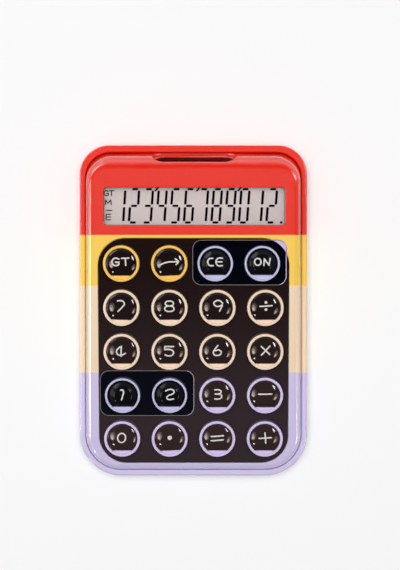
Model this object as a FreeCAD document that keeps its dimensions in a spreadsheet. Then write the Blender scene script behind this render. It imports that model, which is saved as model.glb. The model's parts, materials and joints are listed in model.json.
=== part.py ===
import FreeCAD, Part
import math
import os
import re
import Sketcher

# A flat desk calculator with a solar cell, twenty round keys and a twelve-digit display.
# +Z is up, +Y runs from the keys to the display, and the origin is on the table under
# the middle of the case. Lengths are in millimetres and angles in degrees.

os.makedirs("parts", exist_ok=True)
doc = FreeCAD.newDocument("solar_calculator")

driving_sizes = {
    # lower case: outline, walls and the gap round the upper case
    "case_width": 100.0,
    "case_length": 145.4,
    "rear_corner": 12.8,
    "front_corner": 18.6,
    "foot_stand": 1.0,
    "rim_height": 9.0,
    "floor_thick": 2.0,
    "rim_side": 2.47,
    "rim_rear": 3.1,
    "rim_front": 2.7,
    "seam_gap": 0.22,
    "seam_rear_corner": 11.2,
    "seam_front_corner": 15.8,
    "seam_depth": 0.6,
    "seam_clearance": 0.08,
    "base_round": 2.5,
    "rim_round": 0.9,
    "rim_inner_round": 0.5,
    # upper case: walls that lean in above lean_start, and the rounds along their top
    "lean_start": 8.0,
    "lean_height": 18.0,
    "side_lean": 2.2,
    "rear_lean": 5.1,
    "front_lean": 2.7,
    "top_rear_corner": 11.0,
    "top_front_corner": 14.0,
    "shell_wall": 2.0,
    "rear_wall": 3.3,
    "crest_round": 7.0,
    "shoulder_round": 3.0,
    "lip_round": 0.35,
    # sloping face: heights out of it are negative below its surface
    "face_tilt": 4.5,
    "face_height": 17.2,
    "face_thick": 2.2,
    # keypad plate
    "plate_width": 82.1,
    "plate_length": 97.8,
    "plate_corner": 11.9,
    "plate_across": 0.15,
    "plate_along": -17.6,
    "plate_thick": 1.0,
    "plate_gap": 0.15,
    # panels round the two key pairs
    "panel_thick": 0.35,
    "rear_panel_width": 40.7,
    "rear_panel_length": 19.8,
    "front_panel_width": 41.1,
    "front_panel_length": 20.2,
    "panel_corner": 4.0,
    "rear_panel_across": 19.85,
    "rear_panel_along": 20.94,
    "front_panel_across": -20.05,
    "front_panel_along": -35.8,
    # keys, counted from the left column and the rear row
    "column_pitch": 20.56,
    "row_pitch": 18.98,
    "first_column": -30.76,
    "first_row": 20.6,
    "key_travel": 1.3,
    "cup_top": 3.6,
    "cup_radius": 7.8,
    "cup_foot_radius": 7.9,
    "cup_bore": 6.6,
    "well_floor": 1.6,
    "ledge_top": 3.0,
    "ledge_chord": 5.15,
    "flange_radius": 8.9,
    "flange_top": -2.5,
    "flange_thick": 1.0,
    "stem_radius": 2.0,
    "stem_foot": -4.25,
    "key_gap": 0.25,
    "cup_round": 0.5,
    "dome_gap": 0.1,
    "dome_edge": 3.2,
    "crown_radius": 12.0,
    "dome_round": 0.7,
    # the four keys on the panels have slimmer cups and a stepped dome
    "slim_cup_radius": 7.55,
    "slim_foot_radius": 7.65,
    "slim_bore": 6.65,
    "slim_round": 0.4,
    "slim_dome_radius": 5.95,
    "slim_step": 2.4,
    # rubber sheet and circuit board under the keys
    "board_top": -7.0,
    "board_thick": 1.2,
    "board_half_width": 40.5,
    "board_rear": 31.5,
    "board_front": 64.0,
    "sheet_thick": 0.8,
    "sheet_rear": 28.2,
    "bubble_top": -4.3,
    "bubble_base_radius": 5.4,
    "bubble_top_radius": 3.0,
    "bubble_wall": 0.8,
    "pill_radius": 1.8,
    "pill_clear": 0.1,
    # display
    "window_width": 77.9,
    "window_length": 16.2,
    "window_corner": 1.6,
    "window_across": 0.5,
    "window_along": 44.95,
    "window_sink": 0.35,
    "window_gap": 0.1,
    "window_flange": 1.4,
    "window_flange_thick": 1.0,
    "glass_thick": 1.0,
    "glass_width": 82.0,
    "glass_length": 21.5,
    "glass_ledge": 2.7,
    "holder_wall": 1.35,
    "holder_floor": 1.2,
    "holder_gap": 0.15,
    "ribbon_half_width": 30.0,
    "ribbon_thick": 0.2,
    # solar cell in the rear slope
    "solar_across": 0.5,
    "solar_along": 65.44,
    "solar_height": 16.62,
    "solar_lean": 21.0,
    "notch_half_width": 17.3,
    "notch_low": 7.5,
    "notch_high": 4.6,
    "notch_flare": 40.0,
    "notch_low_corner": 3.0,
    "notch_high_corner": 4.8,
    "solar_half_width": 16.7,
    "solar_half_height": 3.95,
    "solar_corner": 3.9,
    "solar_glass_thick": 0.75,
    "solar_wall": 2.3,
    "solar_cell_thick": 1.1,
    # screws, their posts and bosses
    "front_screw_along": -45.9,
    "rear_screw_across": 38.5,
    "rear_screw_along": 61.5,
    "clamp_along": 11.3,
    "middle_rest_along": -27.0,
    "post_radius": 3.0,
    "boss_radius": 3.6,
    "rest_radius": 2.2,
    "boss_top": 6.5,
    "screw_seat": 2.8,
    "screw_reach": 7.0,
    "shank_radius": 1.0,
    "head_radius": 2.1,
    "head_height": 1.3,
    # feet and the blank panel under the case
    "foot_radius": 4.0,
    "foot_sink": 0.6,
    "front_foot_across": 38.0,
    "front_foot_along": -60.0,
    "rear_foot_across": 40.0,
    "rear_foot_along": 50.0,
    "blank_width": 46.0,
    "blank_length": 26.0,
    "blank_along": -8.0,
    "blank_sink": 0.3,
    # battery, its bay and its door
    "bay_along": 46.0,
    "door_width": 24.0,
    "door_length": 20.0,
    "door_thick": 1.2,
    "door_gap": 0.3,
    "cell_radius": 5.8,
    "cell_height": 3.05,
    "cell_foot": 2.3,
    "cup_side": 15.0,
    "cup_height": 4.0,
    "bore_gap": 0.4,
    "finger_width": 4.0,
    "finger_across": 7.0,
    "groove_length": 10.0,
    "groove_width": 0.6,
    "groove_depth": 0.3,
    "groove_pitch": 1.3,
    "strip_thick": 0.35,
    "strip_width": 3.0,
    # leads
    "lead_radius": 0.4,
}

key_names = [
    ["gt", "arrow", "ce", "on"],
    ["7", "8", "9", "divide"],
    ["4", "5", "6", "multiply"],
    ["1", "2", "3", "subtract"],
    ["0", "point", "equals", "add"],
]
slim_keys = ("ce", "on", "1", "2")
# keys that sit a little turned or shifted in their wells
key_turns = {"arrow": 2.6, "7": -2.0, "point": 2.5}
key_shifts = {"ce": -0.95, "on": -1.45, "1": 0.3}


def fill_sheet():
    cells = doc.addObject("Spreadsheet::Sheet", "sizes")
    for row, (alias, number) in enumerate(driving_sizes.items(), start=1):
        cells.set(f"A{row}", alias.replace("_", " "))
        cells.set(f"B{row}", str(number))
        cells.setAlias(f"B{row}", alias)
    doc.recompute()
    return cells


sheet = fill_sheet()


def on_sheet(text):
    """An expression with each alias in it turned into the sheet's cell."""
    def cell(word):
        return f"sizes.{word[0]}" if word[0] in driving_sizes else word[0]

    return re.sub(r"[a-z_]+", cell, text)


def value(text):
    """The number that an expression of aliases gives now."""
    found = sheet.evalExpression(on_sheet(text))
    return float(getattr(found, "Value", found))


def bind(thing, **texts):
    """Binds properties of a document object to expressions of aliases."""
    for name, text in texts.items():
        thing.setExpression(name, on_sheet(text))
    return thing


# Places

def spot(x="0", y="0", z="0"):
    return FreeCAD.Placement(FreeCAD.Vector(value(x), value(y), value(z)), FreeCAD.Rotation())


face_turn = FreeCAD.Rotation(FreeCAD.Vector(1, 0, 0), value("face_tilt"))
slope_turn = FreeCAD.Rotation(FreeCAD.Vector(1, 0, 0), value("solar_lean") - 90)


def on_face(across="0", along="0", out="0", turn=0):
    """A place on the sloping face: across it, up its slope, and out of it."""
    base = FreeCAD.Placement(FreeCAD.Vector(0, 0, value("face_height")), face_turn)
    local = FreeCAD.Rotation(FreeCAD.Vector(0, 0, 1), turn)
    here = FreeCAD.Vector(value(across), value(along), value(out))
    return base.multiply(FreeCAD.Placement(here, local))


def on_slope(across="0", down="0", out="0"):
    """A place on the solar cell's slope: across it, down it, and out of it."""
    middle = FreeCAD.Vector(value("solar_across"), value("solar_along"), value("solar_height"))
    here = FreeCAD.Vector(value(across), value(down), value(out))
    base = FreeCAD.Placement(middle, slope_turn)
    return base.multiply(FreeCAD.Placement(here, FreeCAD.Rotation()))


# Sketches

def new_body(name, place=None):
    body = doc.addObject("PartDesign::Body", name)
    body.Label = name
    if place:
        body.Placement = place
    return body


def new_sketch(body, plane="XY_Plane", level="0"):
    sketch = body.newObject("Sketcher::SketchObject", "outline")
    support = next(f for f in body.Origin.OriginFeatures if f.Role == plane)
    sketch.AttachmentSupport = [(support, "")]
    sketch.MapMode = "FlatFace"
    sketch.setExpression(".AttachmentOffset.Base.z", on_sheet(level))
    return sketch


def fix_number(sketch, kind, where, text):
    """A constraint of this kind whose size is bound to an expression."""
    number = value(text)
    index = sketch.addConstraint(Sketcher.Constraint(kind, *where, abs(number)))
    sign = "" if number > 0 else "-"
    sketch.setExpression(f"Constraints[{index}]", f"{sign}({on_sheet(text)})")


def fix_point(sketch, edge, end, x=None, y=None):
    """Binds one end of an edge to expressions for its distances from the origin."""
    for kind, axis, text in (("DistanceX", -2, x), ("DistanceY", -1, y)):
        if text is None:
            continue
        number = value(text)
        if abs(number) < 1e-9:
            sketch.addConstraint(Sketcher.Constraint("PointOnObject", edge, end, axis))
        else:
            here, origin = (edge, end), (-1, 1)
            where = (*origin, *here) if number > 0 else (*here, *origin)
            fix_number(sketch, kind, where, text)


def polygon(sketch, points):
    spots = [FreeCAD.Vector(value(x), value(y), 0) for x, y in points]
    count = len(spots)
    for i in range(count):
        sketch.addGeometry(Part.LineSegment(spots[i], spots[(i + 1) % count]), False)
    for i in range(count):
        sketch.addConstraint(Sketcher.Constraint("Coincident", i, 2, (i + 1) % count, 1))
    for i, (x, y) in enumerate(points):
        fix_point(sketch, i, 1, x, y)
    return sketch


def rounded(sketch, right, rear, front=None, rear_corner=None, front_corner=None):
    """Four straight sides joined by round corners, as wide to the left as to the right."""
    front = front or rear
    front_corner = front_corner or rear_corner
    side, back, fore = value(right), value(rear), value(front)
    wide, narrow = value(front_corner), value(rear_corner)
    corners = [
        (side - wide, wide - fore, wide, -90),
        (side - narrow, back - narrow, narrow, 0),
        (narrow - side, back - narrow, narrow, 90),
        (wide - side, wide - fore, wide, 180),
    ]
    ends = []
    for x, y, radius, start in corners:
        for angle in (start, start + 90):
            turn = math.radians(angle)
            ends.append(FreeCAD.Vector(x + radius * math.cos(turn), y + radius * math.sin(turn), 0))
    for i, (x, y, radius, start) in enumerate(corners):
        sketch.addGeometry(Part.LineSegment(ends[2 * i - 1], ends[2 * i]), False)
        circle = Part.Circle(FreeCAD.Vector(x, y, 0), FreeCAD.Vector(0, 0, 1), radius)
        begin = math.radians(start)
        sketch.addGeometry(Part.ArcOfCircle(circle, begin, begin + math.pi / 2), False)
    for i in range(8):
        sketch.addConstraint(Sketcher.Constraint("Tangent", i, 2, (i + 1) % 8, 1))
    for line, kind in ((0, "Horizontal"), (4, "Horizontal"), (2, "Vertical"), (6, "Vertical")):
        sketch.addConstraint(Sketcher.Constraint(kind, line))
    sketch.addConstraint(Sketcher.Constraint("Equal", 1, 7))
    sketch.addConstraint(Sketcher.Constraint("Equal", 3, 5))
    fix_number(sketch, "Radius", (1,), front_corner)
    fix_number(sketch, "Radius", (3,), rear_corner)
    fix_point(sketch, 0, 1, y=f"-({front})")
    fix_point(sketch, 2, 1, x=right)
    fix_point(sketch, 4, 1, y=rear)
    fix_point(sketch, 6, 1, x=f"-({right})")
    return sketch


# Features

def pad(body, sketch, length, flare=None, symmetric=False):
    feature = body.newObject("PartDesign::Pad", "pad")
    feature.Profile = sketch
    bind(feature, Length=length)
    if flare:
        bind(feature, TaperAngle=flare)
    if symmetric:
        feature.SideType = "Symmetric"
    return feature


def pocket(body, sketch, length, symmetric=False, upward=False):
    feature = body.newObject("PartDesign::Pocket", "pocket")
    feature.Profile = sketch
    bind(feature, Length=length)
    feature.Reversed = upward
    if symmetric:
        feature.SideType = "Symmetric"
    return feature


def turned(body, points):
    """Turns a closed profile of (radius, height) points about the body's own Z axis."""
    sketch = polygon(new_sketch(body, "XZ_Plane"), points)
    feature = body.newObject("PartDesign::Revolution", "turned")
    feature.Profile = sketch
    feature.ReferenceAxis = (sketch, ["V_Axis"])
    return feature


def round_edges(body, feature, radius, chosen):
    """Rounds those edges of the body's last feature that chosen picks."""
    doc.recompute()
    names = [f"Edge{i}" for i, edge in enumerate(feature.Shape.Edges, 1) if chosen(edge)]
    fillet = body.newObject("PartDesign::Fillet", "round")
    fillet.Base = (feature, names)
    return bind(fillet, Radius=radius)


def level_at(text):
    """Picks edges that lie level at this height of their body."""
    height = value(text)

    def chosen(edge):
        points = [v.Point for v in edge.Vertexes] + [edge.CenterOfMass]
        return all(abs(p.z - height) < 1e-4 for p in points)

    return chosen


def cylinder(name, radius, height, place):
    thing = bind(doc.addObject("Part::Cylinder", name), Radius=radius, Height=height)
    thing.Placement = place
    return thing


def cone(name, low_radius, top_radius, height, place):
    thing = doc.addObject("Part::Cone", name)
    bind(thing, Radius1=low_radius, Radius2=top_radius, Height=height)
    thing.Placement = place
    return thing


def box(name, width, length, height, place):
    """A box centred across and along its place, standing on it."""
    thing = bind(doc.addObject("Part::Box", name), Length=width, Width=length, Height=height)
    corner = FreeCAD.Vector(-value(width) / 2, -value(length) / 2, 0)
    thing.Placement = place.multiply(FreeCAD.Placement(corner, FreeCAD.Rotation()))
    return thing


def cut(name, base, *tools):
    thing = doc.addObject("Part::Cut", name)
    thing.Base = base
    thing.Tool = tools[0] if len(tools) == 1 else fuse(f"{name}_tools", *tools)
    return thing


def fuse(name, *things):
    thing = doc.addObject("Part::MultiFuse", name)
    thing.Shapes = list(things)
    return thing


def common(name, first, second):
    thing = doc.addObject("Part::Common", name)
    thing.Base, thing.Tool = first, second
    return thing


def group(name, things):
    """Separate solids kept together as one sub-part."""
    thing = doc.addObject("Part::Compound", name)
    thing.Links = list(things)
    return thing


nodes = {}


def keep(thing, name):
    """Names a finished sub-part, which is then written to a file of that name."""
    thing.Label = name
    nodes[name] = thing
    return thing


# Where keys, screws and rests stand

def key_places():
    """Each key's name with expressions for where it is across and along the face."""
    for row, names in enumerate(key_names):
        for column, name in enumerate(names):
            shift = key_shifts.get(name, 0)
            across = f"first_column + {column} * column_pitch + {shift}"
            yield name, across, f"first_row - {row} * row_pitch"


def pair(across, along):
    return [(across, along), (f"-({across})", along)]


front_screws = pair("column_pitch", "front_screw_along")
rear_screws = pair("rear_screw_across", "rear_screw_along")
clamps = pair("column_pitch", "clamp_along")
middle_rest = [("0", "middle_rest_along")]
feet = pair("front_foot_across", "front_foot_along") + pair("rear_foot_across", "rear_foot_along")


def columns(name, radius, low, height, places):
    """Upright round columns at several places."""
    return [cylinder(name, radius, height, spot(x, y, low)) for x, y in places]


def key_wells():
    """The wells in which the cups slide, through the face, the plate and the panels."""
    wells = []
    for name, across, along in key_places():
        foot = "slim_foot_radius" if name in slim_keys else "cup_foot_radius"
        place = on_face(across, along, "flange_top - 1")
        wells.append(cylinder(f"well_{name}", f"{foot} + key_gap", "8", place))
    return group("key_wells", wells)


wells = key_wells()


# Upper case

def leaning_block(name, inset, rear_inset, drop, low):
    """The upper case's form, drawn in by inset, and cut off drop below the face."""
    block = new_body(name)
    right = f"case_width / 2 - rim_side - seam_gap - {inset}"
    rear = f"case_length / 2 - rim_rear - seam_gap - {rear_inset}"
    front = f"case_length / 2 - rim_front - seam_gap - {inset}"
    rear_corner = f"seam_rear_corner - seam_gap - {inset}"
    front_corner = f"seam_front_corner - seam_gap - {inset}"
    base = (right, rear, front, rear_corner, front_corner)
    top = (
        f"{right} - side_lean",
        f"{rear} - rear_lean",
        f"{front} - front_lean",
        f"top_rear_corner - {inset}",
        f"top_front_corner - {inset}",
    )
    pad(block, rounded(new_sketch(block, level=low), *base), f"lean_start - ({low})")
    lower = rounded(new_sketch(block, level="lean_start"), *base)
    upper = rounded(new_sketch(block, level="lean_start + lean_height"), *top)
    loft = block.newObject("PartDesign::AdditiveLoft", "lean")
    loft.Profile = lower
    loft.Sections = [upper]
    loft.Ruled = True
    over = new_sketch(block, "YZ_Plane")
    middle = f"face_height - {drop} / cos(face_tilt)"
    rise = "case_length * tan(face_tilt)"
    polygon(over, [
        ("-case_length", f"{middle} - {rise}"),
        ("case_length", f"{middle} + {rise}"),
        ("case_length", "case_width"),
        ("-case_length", "case_width"),
    ])
    pocket(block, over, "2 * case_width", symmetric=True)
    return block


def rounded_crest(block):
    """Rounds the edge of the face: widest along the rear, running out round its corners."""
    doc.recompute()
    to_face = on_face().inverse()
    straight = value("case_width / 2 - rim_side - seam_gap - side_lean - top_rear_corner / 2")

    def radius_at(point):
        on_crest = point.y > 0 and abs(point.x) < straight
        return value("crest_round" if on_crest else "shoulder_round")

    edges = []
    for i, edge in enumerate(block.Shape.Edges, 1):
        points = [v.Point for v in edge.Vertexes] + [edge.CenterOfMass]
        if all(abs(to_face.multVec(p).z) < 1e-3 for p in points):
            first, last = (radius_at(edge.valueAt(t)) for t in edge.ParameterRange)
            edges.append((i, first, last))
    fillet = doc.addObject("Part::Fillet", "upper_case_rounded")
    fillet.Base = block
    fillet.Edges = edges
    return fillet


def solar_notch():
    """The flared notch in the rear slope, with the window's seat and the opening behind it."""
    notch = new_body("solar_notch", on_slope())
    sketch = new_sketch(notch)
    rounded(sketch, "notch_half_width", "notch_low", "notch_high", "notch_low_corner",
            "notch_high_corner")
    pad(notch, sketch, "6", flare="notch_flare")
    seat = new_body("solar_seat", on_slope())
    sketch = new_sketch(seat, level="-(solar_glass_thick + 0.05)")
    rounded(sketch, "solar_half_width + 0.1", "solar_half_height + 0.1", None,
            "solar_corner + 0.1")
    pad(seat, sketch, "solar_glass_thick + 1")
    opening = new_body("solar_opening", on_slope())
    sketch = new_sketch(opening, level="-(solar_wall + 1)")
    rounded(sketch, "solar_half_width - 1", "solar_half_height - 0.8", None,
            "solar_corner - 0.8")
    pad(opening, sketch, "solar_wall + 2")
    return [notch, seat, opening]


def plate_form(name, gap, low, height):
    """The keypad plate's outline, grown by gap."""
    form = new_body(name, on_face("plate_across", "plate_along"))
    sketch = new_sketch(form, level=low)
    length = f"plate_length / 2 + {gap}"
    rounded(sketch, f"plate_width / 2 + {gap}", length, None, f"plate_corner + {gap}")
    return form, pad(form, sketch, height)


def window_form(name, gap, low, height):
    """The display window's outline, grown by gap."""
    form = new_body(name, on_face("window_across", "window_along"))
    sketch = new_sketch(form, level=low)
    length = f"window_length / 2 + {gap}"
    rounded(sketch, f"window_width / 2 + {gap}", length, None, f"window_corner + {gap}")
    return form, pad(form, sketch, height)


def top_shell():
    outer = rounded_crest(leaning_block("upper_case_outside", "0", "0", "0",
                                        "foot_stand + floor_thick"))
    inside = leaning_block("upper_case_inside", "shell_wall", "rear_wall", "face_thick",
                           "foot_stand")
    housing = box("solar_housing", "2 * notch_half_width + 8", "20", "8",
                  on_slope("0", "-4", "-solar_wall"))
    shell = cut("upper_case_hollow", outer, cut("upper_case_cavity", inside, housing))
    below_face = box("post_space", "case_width", "case_length", "-board_top - 2",
                     on_face("0", "0", "board_top"))
    short = columns("post", "post_radius", "0", "40", front_screws)
    short += columns("clamp", "rest_radius", "0", "40", clamps)
    posts = common("front_posts", group("front_columns", short), below_face)
    deep_space = box("rear_post_space", "case_width", "case_length", "40",
                     on_face("0", "0", "-42"))
    tall = columns("rear_post", "post_radius", "boss_top", "30", rear_screws)
    rear_posts = common("rear_posts", group("rear_columns", tall), deep_space)
    whole = fuse("upper_case_posts", shell, posts, rear_posts)
    recess, _ = plate_form("plate_recess", "plate_gap", "-plate_thick", "plate_thick + 3")
    opening, _ = window_form("window_opening", "0", "-(face_thick + 1)", "face_thick + 3")
    depth = "screw_seat + screw_reach + 0.4 - foot_stand"
    bores = columns("pilot_bore", "shank_radius + 0.03", "foot_stand", depth,
                    front_screws + rear_screws)
    tools = [recess, opening, wells, *solar_notch(), *bores]
    carved = cut("upper_case_carved", whole, *tools)
    return lip_rounded(carved)


def lip_rounded(carved):
    """Eases the sharp lips of the plate recess and the display opening."""
    doc.recompute()
    to_face = on_face().inverse()
    reach = value("plate_width / 2 + plate_gap") + 0.1
    size = value("lip_round")
    edges = []
    for i, edge in enumerate(carved.Shape.Edges, 1):
        points = [v.Point for v in edge.Vertexes] + [edge.CenterOfMass]
        local = [to_face.multVec(p) for p in points]
        if all(abs(p.z) < 1e-3 and abs(p.x) < reach for p in local):
            edges.append((i, size, size))
    fillet = doc.addObject("Part::Fillet", "upper_case_lips")
    fillet.Base = carved
    fillet.Edges = edges
    return fillet


keep(top_shell(), "top_shell")


# Lower case

def tub():
    """The lower case's tray: its outside, its hollow and its rounded edges."""
    body = new_body("tray")
    sketch = new_sketch(body, level="foot_stand")
    rounded(sketch, "case_width / 2", "case_length / 2", None, "rear_corner", "front_corner")
    outside = pad(body, sketch, "rim_height - foot_stand")
    under = round_edges(body, outside, "base_round", level_at("foot_stand"))
    closing = "seam_gap - seam_clearance"
    levels = (("foot_stand + floor_thick", closing), ("rim_height - seam_depth", "0"))
    for level, inset in levels:
        sketch = new_sketch(body, level=level)
        rounded(sketch, f"case_width / 2 - rim_side - ({inset})",
                f"case_length / 2 - rim_rear - ({inset})",
                f"case_length / 2 - rim_front - ({inset})",
                f"seam_rear_corner - ({inset})", f"seam_front_corner - ({inset})")
        hollow = pocket(body, sketch, "rim_height", upward=True)
    doc.recompute()
    outer_side = value("case_width / 2 - rim_side / 2")
    outer_end = value("case_length / 2 - rim_front / 2")

    def on_outer_rim(edge):
        far = edge.BoundBox
        return level_at("rim_height")(edge) and (
            max(abs(far.XMin), abs(far.XMax)) > outer_side
            or max(abs(far.YMin), abs(far.YMax)) > outer_end
        )

    rim = round_edges(body, hollow, "rim_round", on_outer_rim)
    round_edges(body, rim, "rim_inner_round", level_at("rim_height"))
    return body


def tub_bosses(tray):
    """Screw bosses, rests under the board and the battery cup, standing on the tray."""
    under_board = box("under_board", "case_width", "case_length", "20",
                      on_face("0", "0", "board_top - board_thick - 20"))
    standing = columns("boss", "boss_radius", "foot_stand", "20", front_screws)
    standing += columns("rest", "rest_radius", "foot_stand", "20", clamps + middle_rest)
    low = common("low_bosses", group("low_columns", standing), under_board)
    tall = columns("rear_boss", "boss_radius", "foot_stand", "boss_top - foot_stand", rear_screws)
    bay = spot("0", "bay_along", "foot_stand + door_thick")
    floor_pad = box("bay_pad", "door_width + 4", "door_length + 4", "1.4", bay)
    cup = box("battery_cup", "cup_side", "cup_side", "floor_thick + cup_height - door_thick", bay)
    return fuse("tray_bosses", tray, low, *tall, floor_pad, cup)


def door_slots():
    """Room for the door's two fingers, open upward so that they can swing."""
    edge = "bay_along - door_length / 2"
    low = "foot_stand + 0.6"
    return [
        box("finger_slot", "finger_width + 0.6", "3.6", "3", spot(x, edge, low))
        for x in ("finger_across", "-finger_across")
    ]


def bottom_shell():
    whole = tub_bosses(tub())
    seats = columns("screw_seat", "head_radius + 0.3", "0", "screw_seat",
                    front_screws + rear_screws)
    holes = columns("screw_hole", "shank_radius + 0.3", "0", "20", front_screws + rear_screws)
    foot_seats = columns("foot_seat", "foot_radius + 0.1", "0", "foot_stand + foot_sink", feet)
    door_seat = box("door_seat", "door_width + 2 * door_gap", "door_length + 2 * door_gap",
                    "foot_stand + door_thick", spot("0", "bay_along"))
    bore = cylinder("cell_bore", "cell_radius + bore_gap", "20", spot("0", "bay_along"))
    nail = cylinder("nail_scoop", "7", "foot_stand + 0.9",
                    spot("0", "bay_along + door_length / 2 - 4"))
    blank = new_body("blank_seat", spot("0", "blank_along"))
    sketch = new_sketch(blank, level="0")
    rounded(sketch, "blank_width / 2", "blank_length / 2", None, "1.5")
    pad(blank, sketch, "foot_stand + blank_sink")
    clip_room = box("clip_groove", "2", "strip_width + 0.6", "10",
                    spot("-cell_radius", "bay_along", "foot_stand + floor_thick"))
    tools = [*seats, *holes, *foot_seats, *door_slots()]
    tools += [door_seat, bore, clip_room, nail, blank]
    return cut("lower_case", whole, *tools)


keep(bottom_shell(), "bottom_shell")


# Keypad plate and the panels on it

def keypad_plate():
    form, _ = plate_form("plate", "0", "-plate_thick", "plate_thick")
    return cut("plate_with_wells", form, wells)


def key_panels():
    """Two thin panels, each round a pair of slim keys."""
    panels = []
    for end in ("rear", "front"):
        place = on_face(f"{end}_panel_across", f"{end}_panel_along")
        panel = new_body(f"{end}_panel", place)
        sketch = new_sketch(panel)
        rounded(sketch, f"{end}_panel_width / 2", f"{end}_panel_length / 2", None, "panel_corner")
        pad(panel, sketch, "panel_thick")
        panels.append(cut(f"{end}_panel_with_wells", panel, wells))
    return group("key_panels", panels)


keep(keypad_plate(), "keypad_plate")
keep(key_panels(), "key_group_inlays")


# Keys

def segment(sketch, radius, chord):
    """The part of a round below a level chord."""
    size, depth = value(radius), value(chord)
    half = math.sqrt(size * size - depth * depth)
    left, right = FreeCAD.Vector(-half, -depth, 0), FreeCAD.Vector(half, -depth, 0)
    round_edge = Part.Circle(FreeCAD.Vector(), FreeCAD.Vector(0, 0, 1), size)
    begin, end = math.atan2(left.y, left.x), math.atan2(right.y, right.x)
    sketch.addGeometry(Part.ArcOfCircle(round_edge, begin, end), False)
    sketch.addGeometry(Part.LineSegment(right, left), False)
    sketch.addConstraint(Sketcher.Constraint("Coincident", 0, 2, 1, 1))
    sketch.addConstraint(Sketcher.Constraint("Coincident", 0, 1, 1, 2))
    sketch.addConstraint(Sketcher.Constraint("Coincident", 0, 3, -1, 1))
    sketch.addConstraint(Sketcher.Constraint("Horizontal", 1))
    fix_number(sketch, "Radius", (0,), radius)
    fix_point(sketch, 1, 1, y=f"-({chord})")
    return sketch


def key_cup(name, place, slim):
    """A cup with a coloured rim, a flange that holds it under the face, and a stem."""
    outer, foot, bore = ("cup_radius", "cup_foot_radius", "cup_bore")
    rim_round, chord = ("cup_round", "ledge_chord")
    if slim:
        outer, foot, bore = ("slim_cup_radius", "slim_foot_radius", "slim_bore")
        rim_round, chord = ("slim_round", "ledge_chord - 0.2")
    body = new_body(f"{name}_cup", place)
    cup = turned(body, [
        ("0", "stem_foot"),
        ("stem_radius", "stem_foot"),
        ("stem_radius", "flange_top - flange_thick"),
        ("flange_radius", "flange_top - flange_thick"),
        ("flange_radius", "flange_top"),
        (foot, "flange_top"),
        (outer, "cup_top"),
        (bore, "cup_top"),
        (bore, "well_floor"),
        ("0", "well_floor"),
    ])
    round_edges(body, cup, rim_round, level_at("cup_top"))
    pad(body, segment(new_sketch(body, level="well_floor"), bore, chord), "ledge_top - well_floor")
    return body


def key_dome(name, place, slim):
    """A domed cap with one flat side, standing in its cup."""
    radius = "slim_dome_radius" if slim else "cup_bore - dome_gap"
    chord = "ledge_chord - 0.4" if slim else "ledge_chord - 0.15"
    drop = f"sqrt(crown_radius ^ 2 - ({radius}) ^ 2)"
    stalk = cylinder(f"{name}_stalk", radius, "crown_radius",
                     place.multiply(spot(z="well_floor")))
    ball = bind(doc.addObject("Part::Sphere", f"{name}_ball"), Radius="crown_radius")
    ball.Placement = place.multiply(spot(z=f"dome_edge - {drop}"))
    whole = common(f"{name}_cap", stalk, ball)
    off = box(f"{name}_flat", "4 * cup_bore", "2 * cup_bore", "2 * crown_radius",
              place.multiply(spot("0", f"-({chord}) - cup_bore")))
    flat = cut(f"{name}_cap_flat", whole, off)
    doc.recompute()
    to_key = place.inverse()
    edge_height = value("dome_edge") - 1e-3
    size = value("dome_round")
    edges = []
    for i, edge in enumerate(flat.Shape.Edges, 1):
        points = [v.Point for v in edge.Vertexes] + [edge.valueAt(sum(edge.ParameterRange) / 2)]
        if all(to_key.multVec(p).z > edge_height for p in points):
            edges.append((i, size, size))
    dome = doc.addObject("Part::Fillet", f"{name}_dome")
    dome.Base = flat
    dome.Edges = edges
    if not slim:
        return dome
    step = cylinder(f"{name}_step", "slim_bore - dome_gap", "slim_step - well_floor",
                    place.multiply(spot(z="well_floor")))
    side = box(f"{name}_step_flat", "4 * cup_bore", "2 * cup_bore", "crown_radius",
               place.multiply(spot("0", f"-({chord}) - cup_bore")))
    return fuse(f"{name}_stepped", dome, cut(f"{name}_step_cut", step, side))


for name, across, along in key_places():
    key_place = on_face(across, along, turn=key_turns.get(name, 0))
    keep(key_cup(name, key_place, name in slim_keys), f"key_{name}_cup")
    keep(key_dome(name, key_place, name in slim_keys), f"key_{name}_dome")


# Under the keys: rubber sheet, circuit board and its chip

def key_membrane():
    """A rubber sheet with a hollow bubble and a contact pill under each key."""
    sheet_body = new_body("rubber_sheet", on_face())
    sketch = new_sketch(sheet_body, level="board_top")
    rounded(sketch, "board_half_width + 0.5", "sheet_rear", "board_front + 0.3", "3", "9")
    pad(sheet_body, sketch, "sheet_thick")
    top = "board_top + sheet_thick"
    height = f"bubble_top - ({top})"
    foot = "board_top + key_travel + pill_clear"
    bubbles, hollows, pills = [], [], []
    for name, across, along in key_places():
        place = on_face(across, along, top)
        bubbles.append(cone("bubble", "bubble_base_radius", "bubble_top_radius", height, place))
        place = on_face(across, along, "board_top")
        hollows.append(cone("hollow", "bubble_base_radius - 0.3", "bubble_top_radius - 0.7",
                            "bubble_top - bubble_wall - board_top", place))
        place = on_face(across, along, foot)
        pills.append(cylinder("pill", "pill_radius", f"bubble_top - bubble_wall - ({foot})", place))
    holes = columns("sheet_post_hole", "post_radius + 0.4", "0", "20", front_screws)
    holes += columns("sheet_clamp_hole", "rest_radius + 0.4", "0", "20", clamps)
    domed = fuse("sheet_bubbles", sheet_body, *bubbles)
    hollow = cut("sheet_hollow", domed, *hollows, *holes)
    return fuse("sheet_pills", hollow, *pills)


def main_board():
    board = new_body("board", on_face())
    sketch = new_sketch(board, level="board_top - board_thick")
    rounded(sketch, "board_half_width", "board_rear", "board_front", "2", "8")
    pad(board, sketch, "board_thick")
    holes = columns("board_hole", "shank_radius + 0.4", "0", "20", front_screws)
    return cut("board_with_holes", board, *holes)


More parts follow.
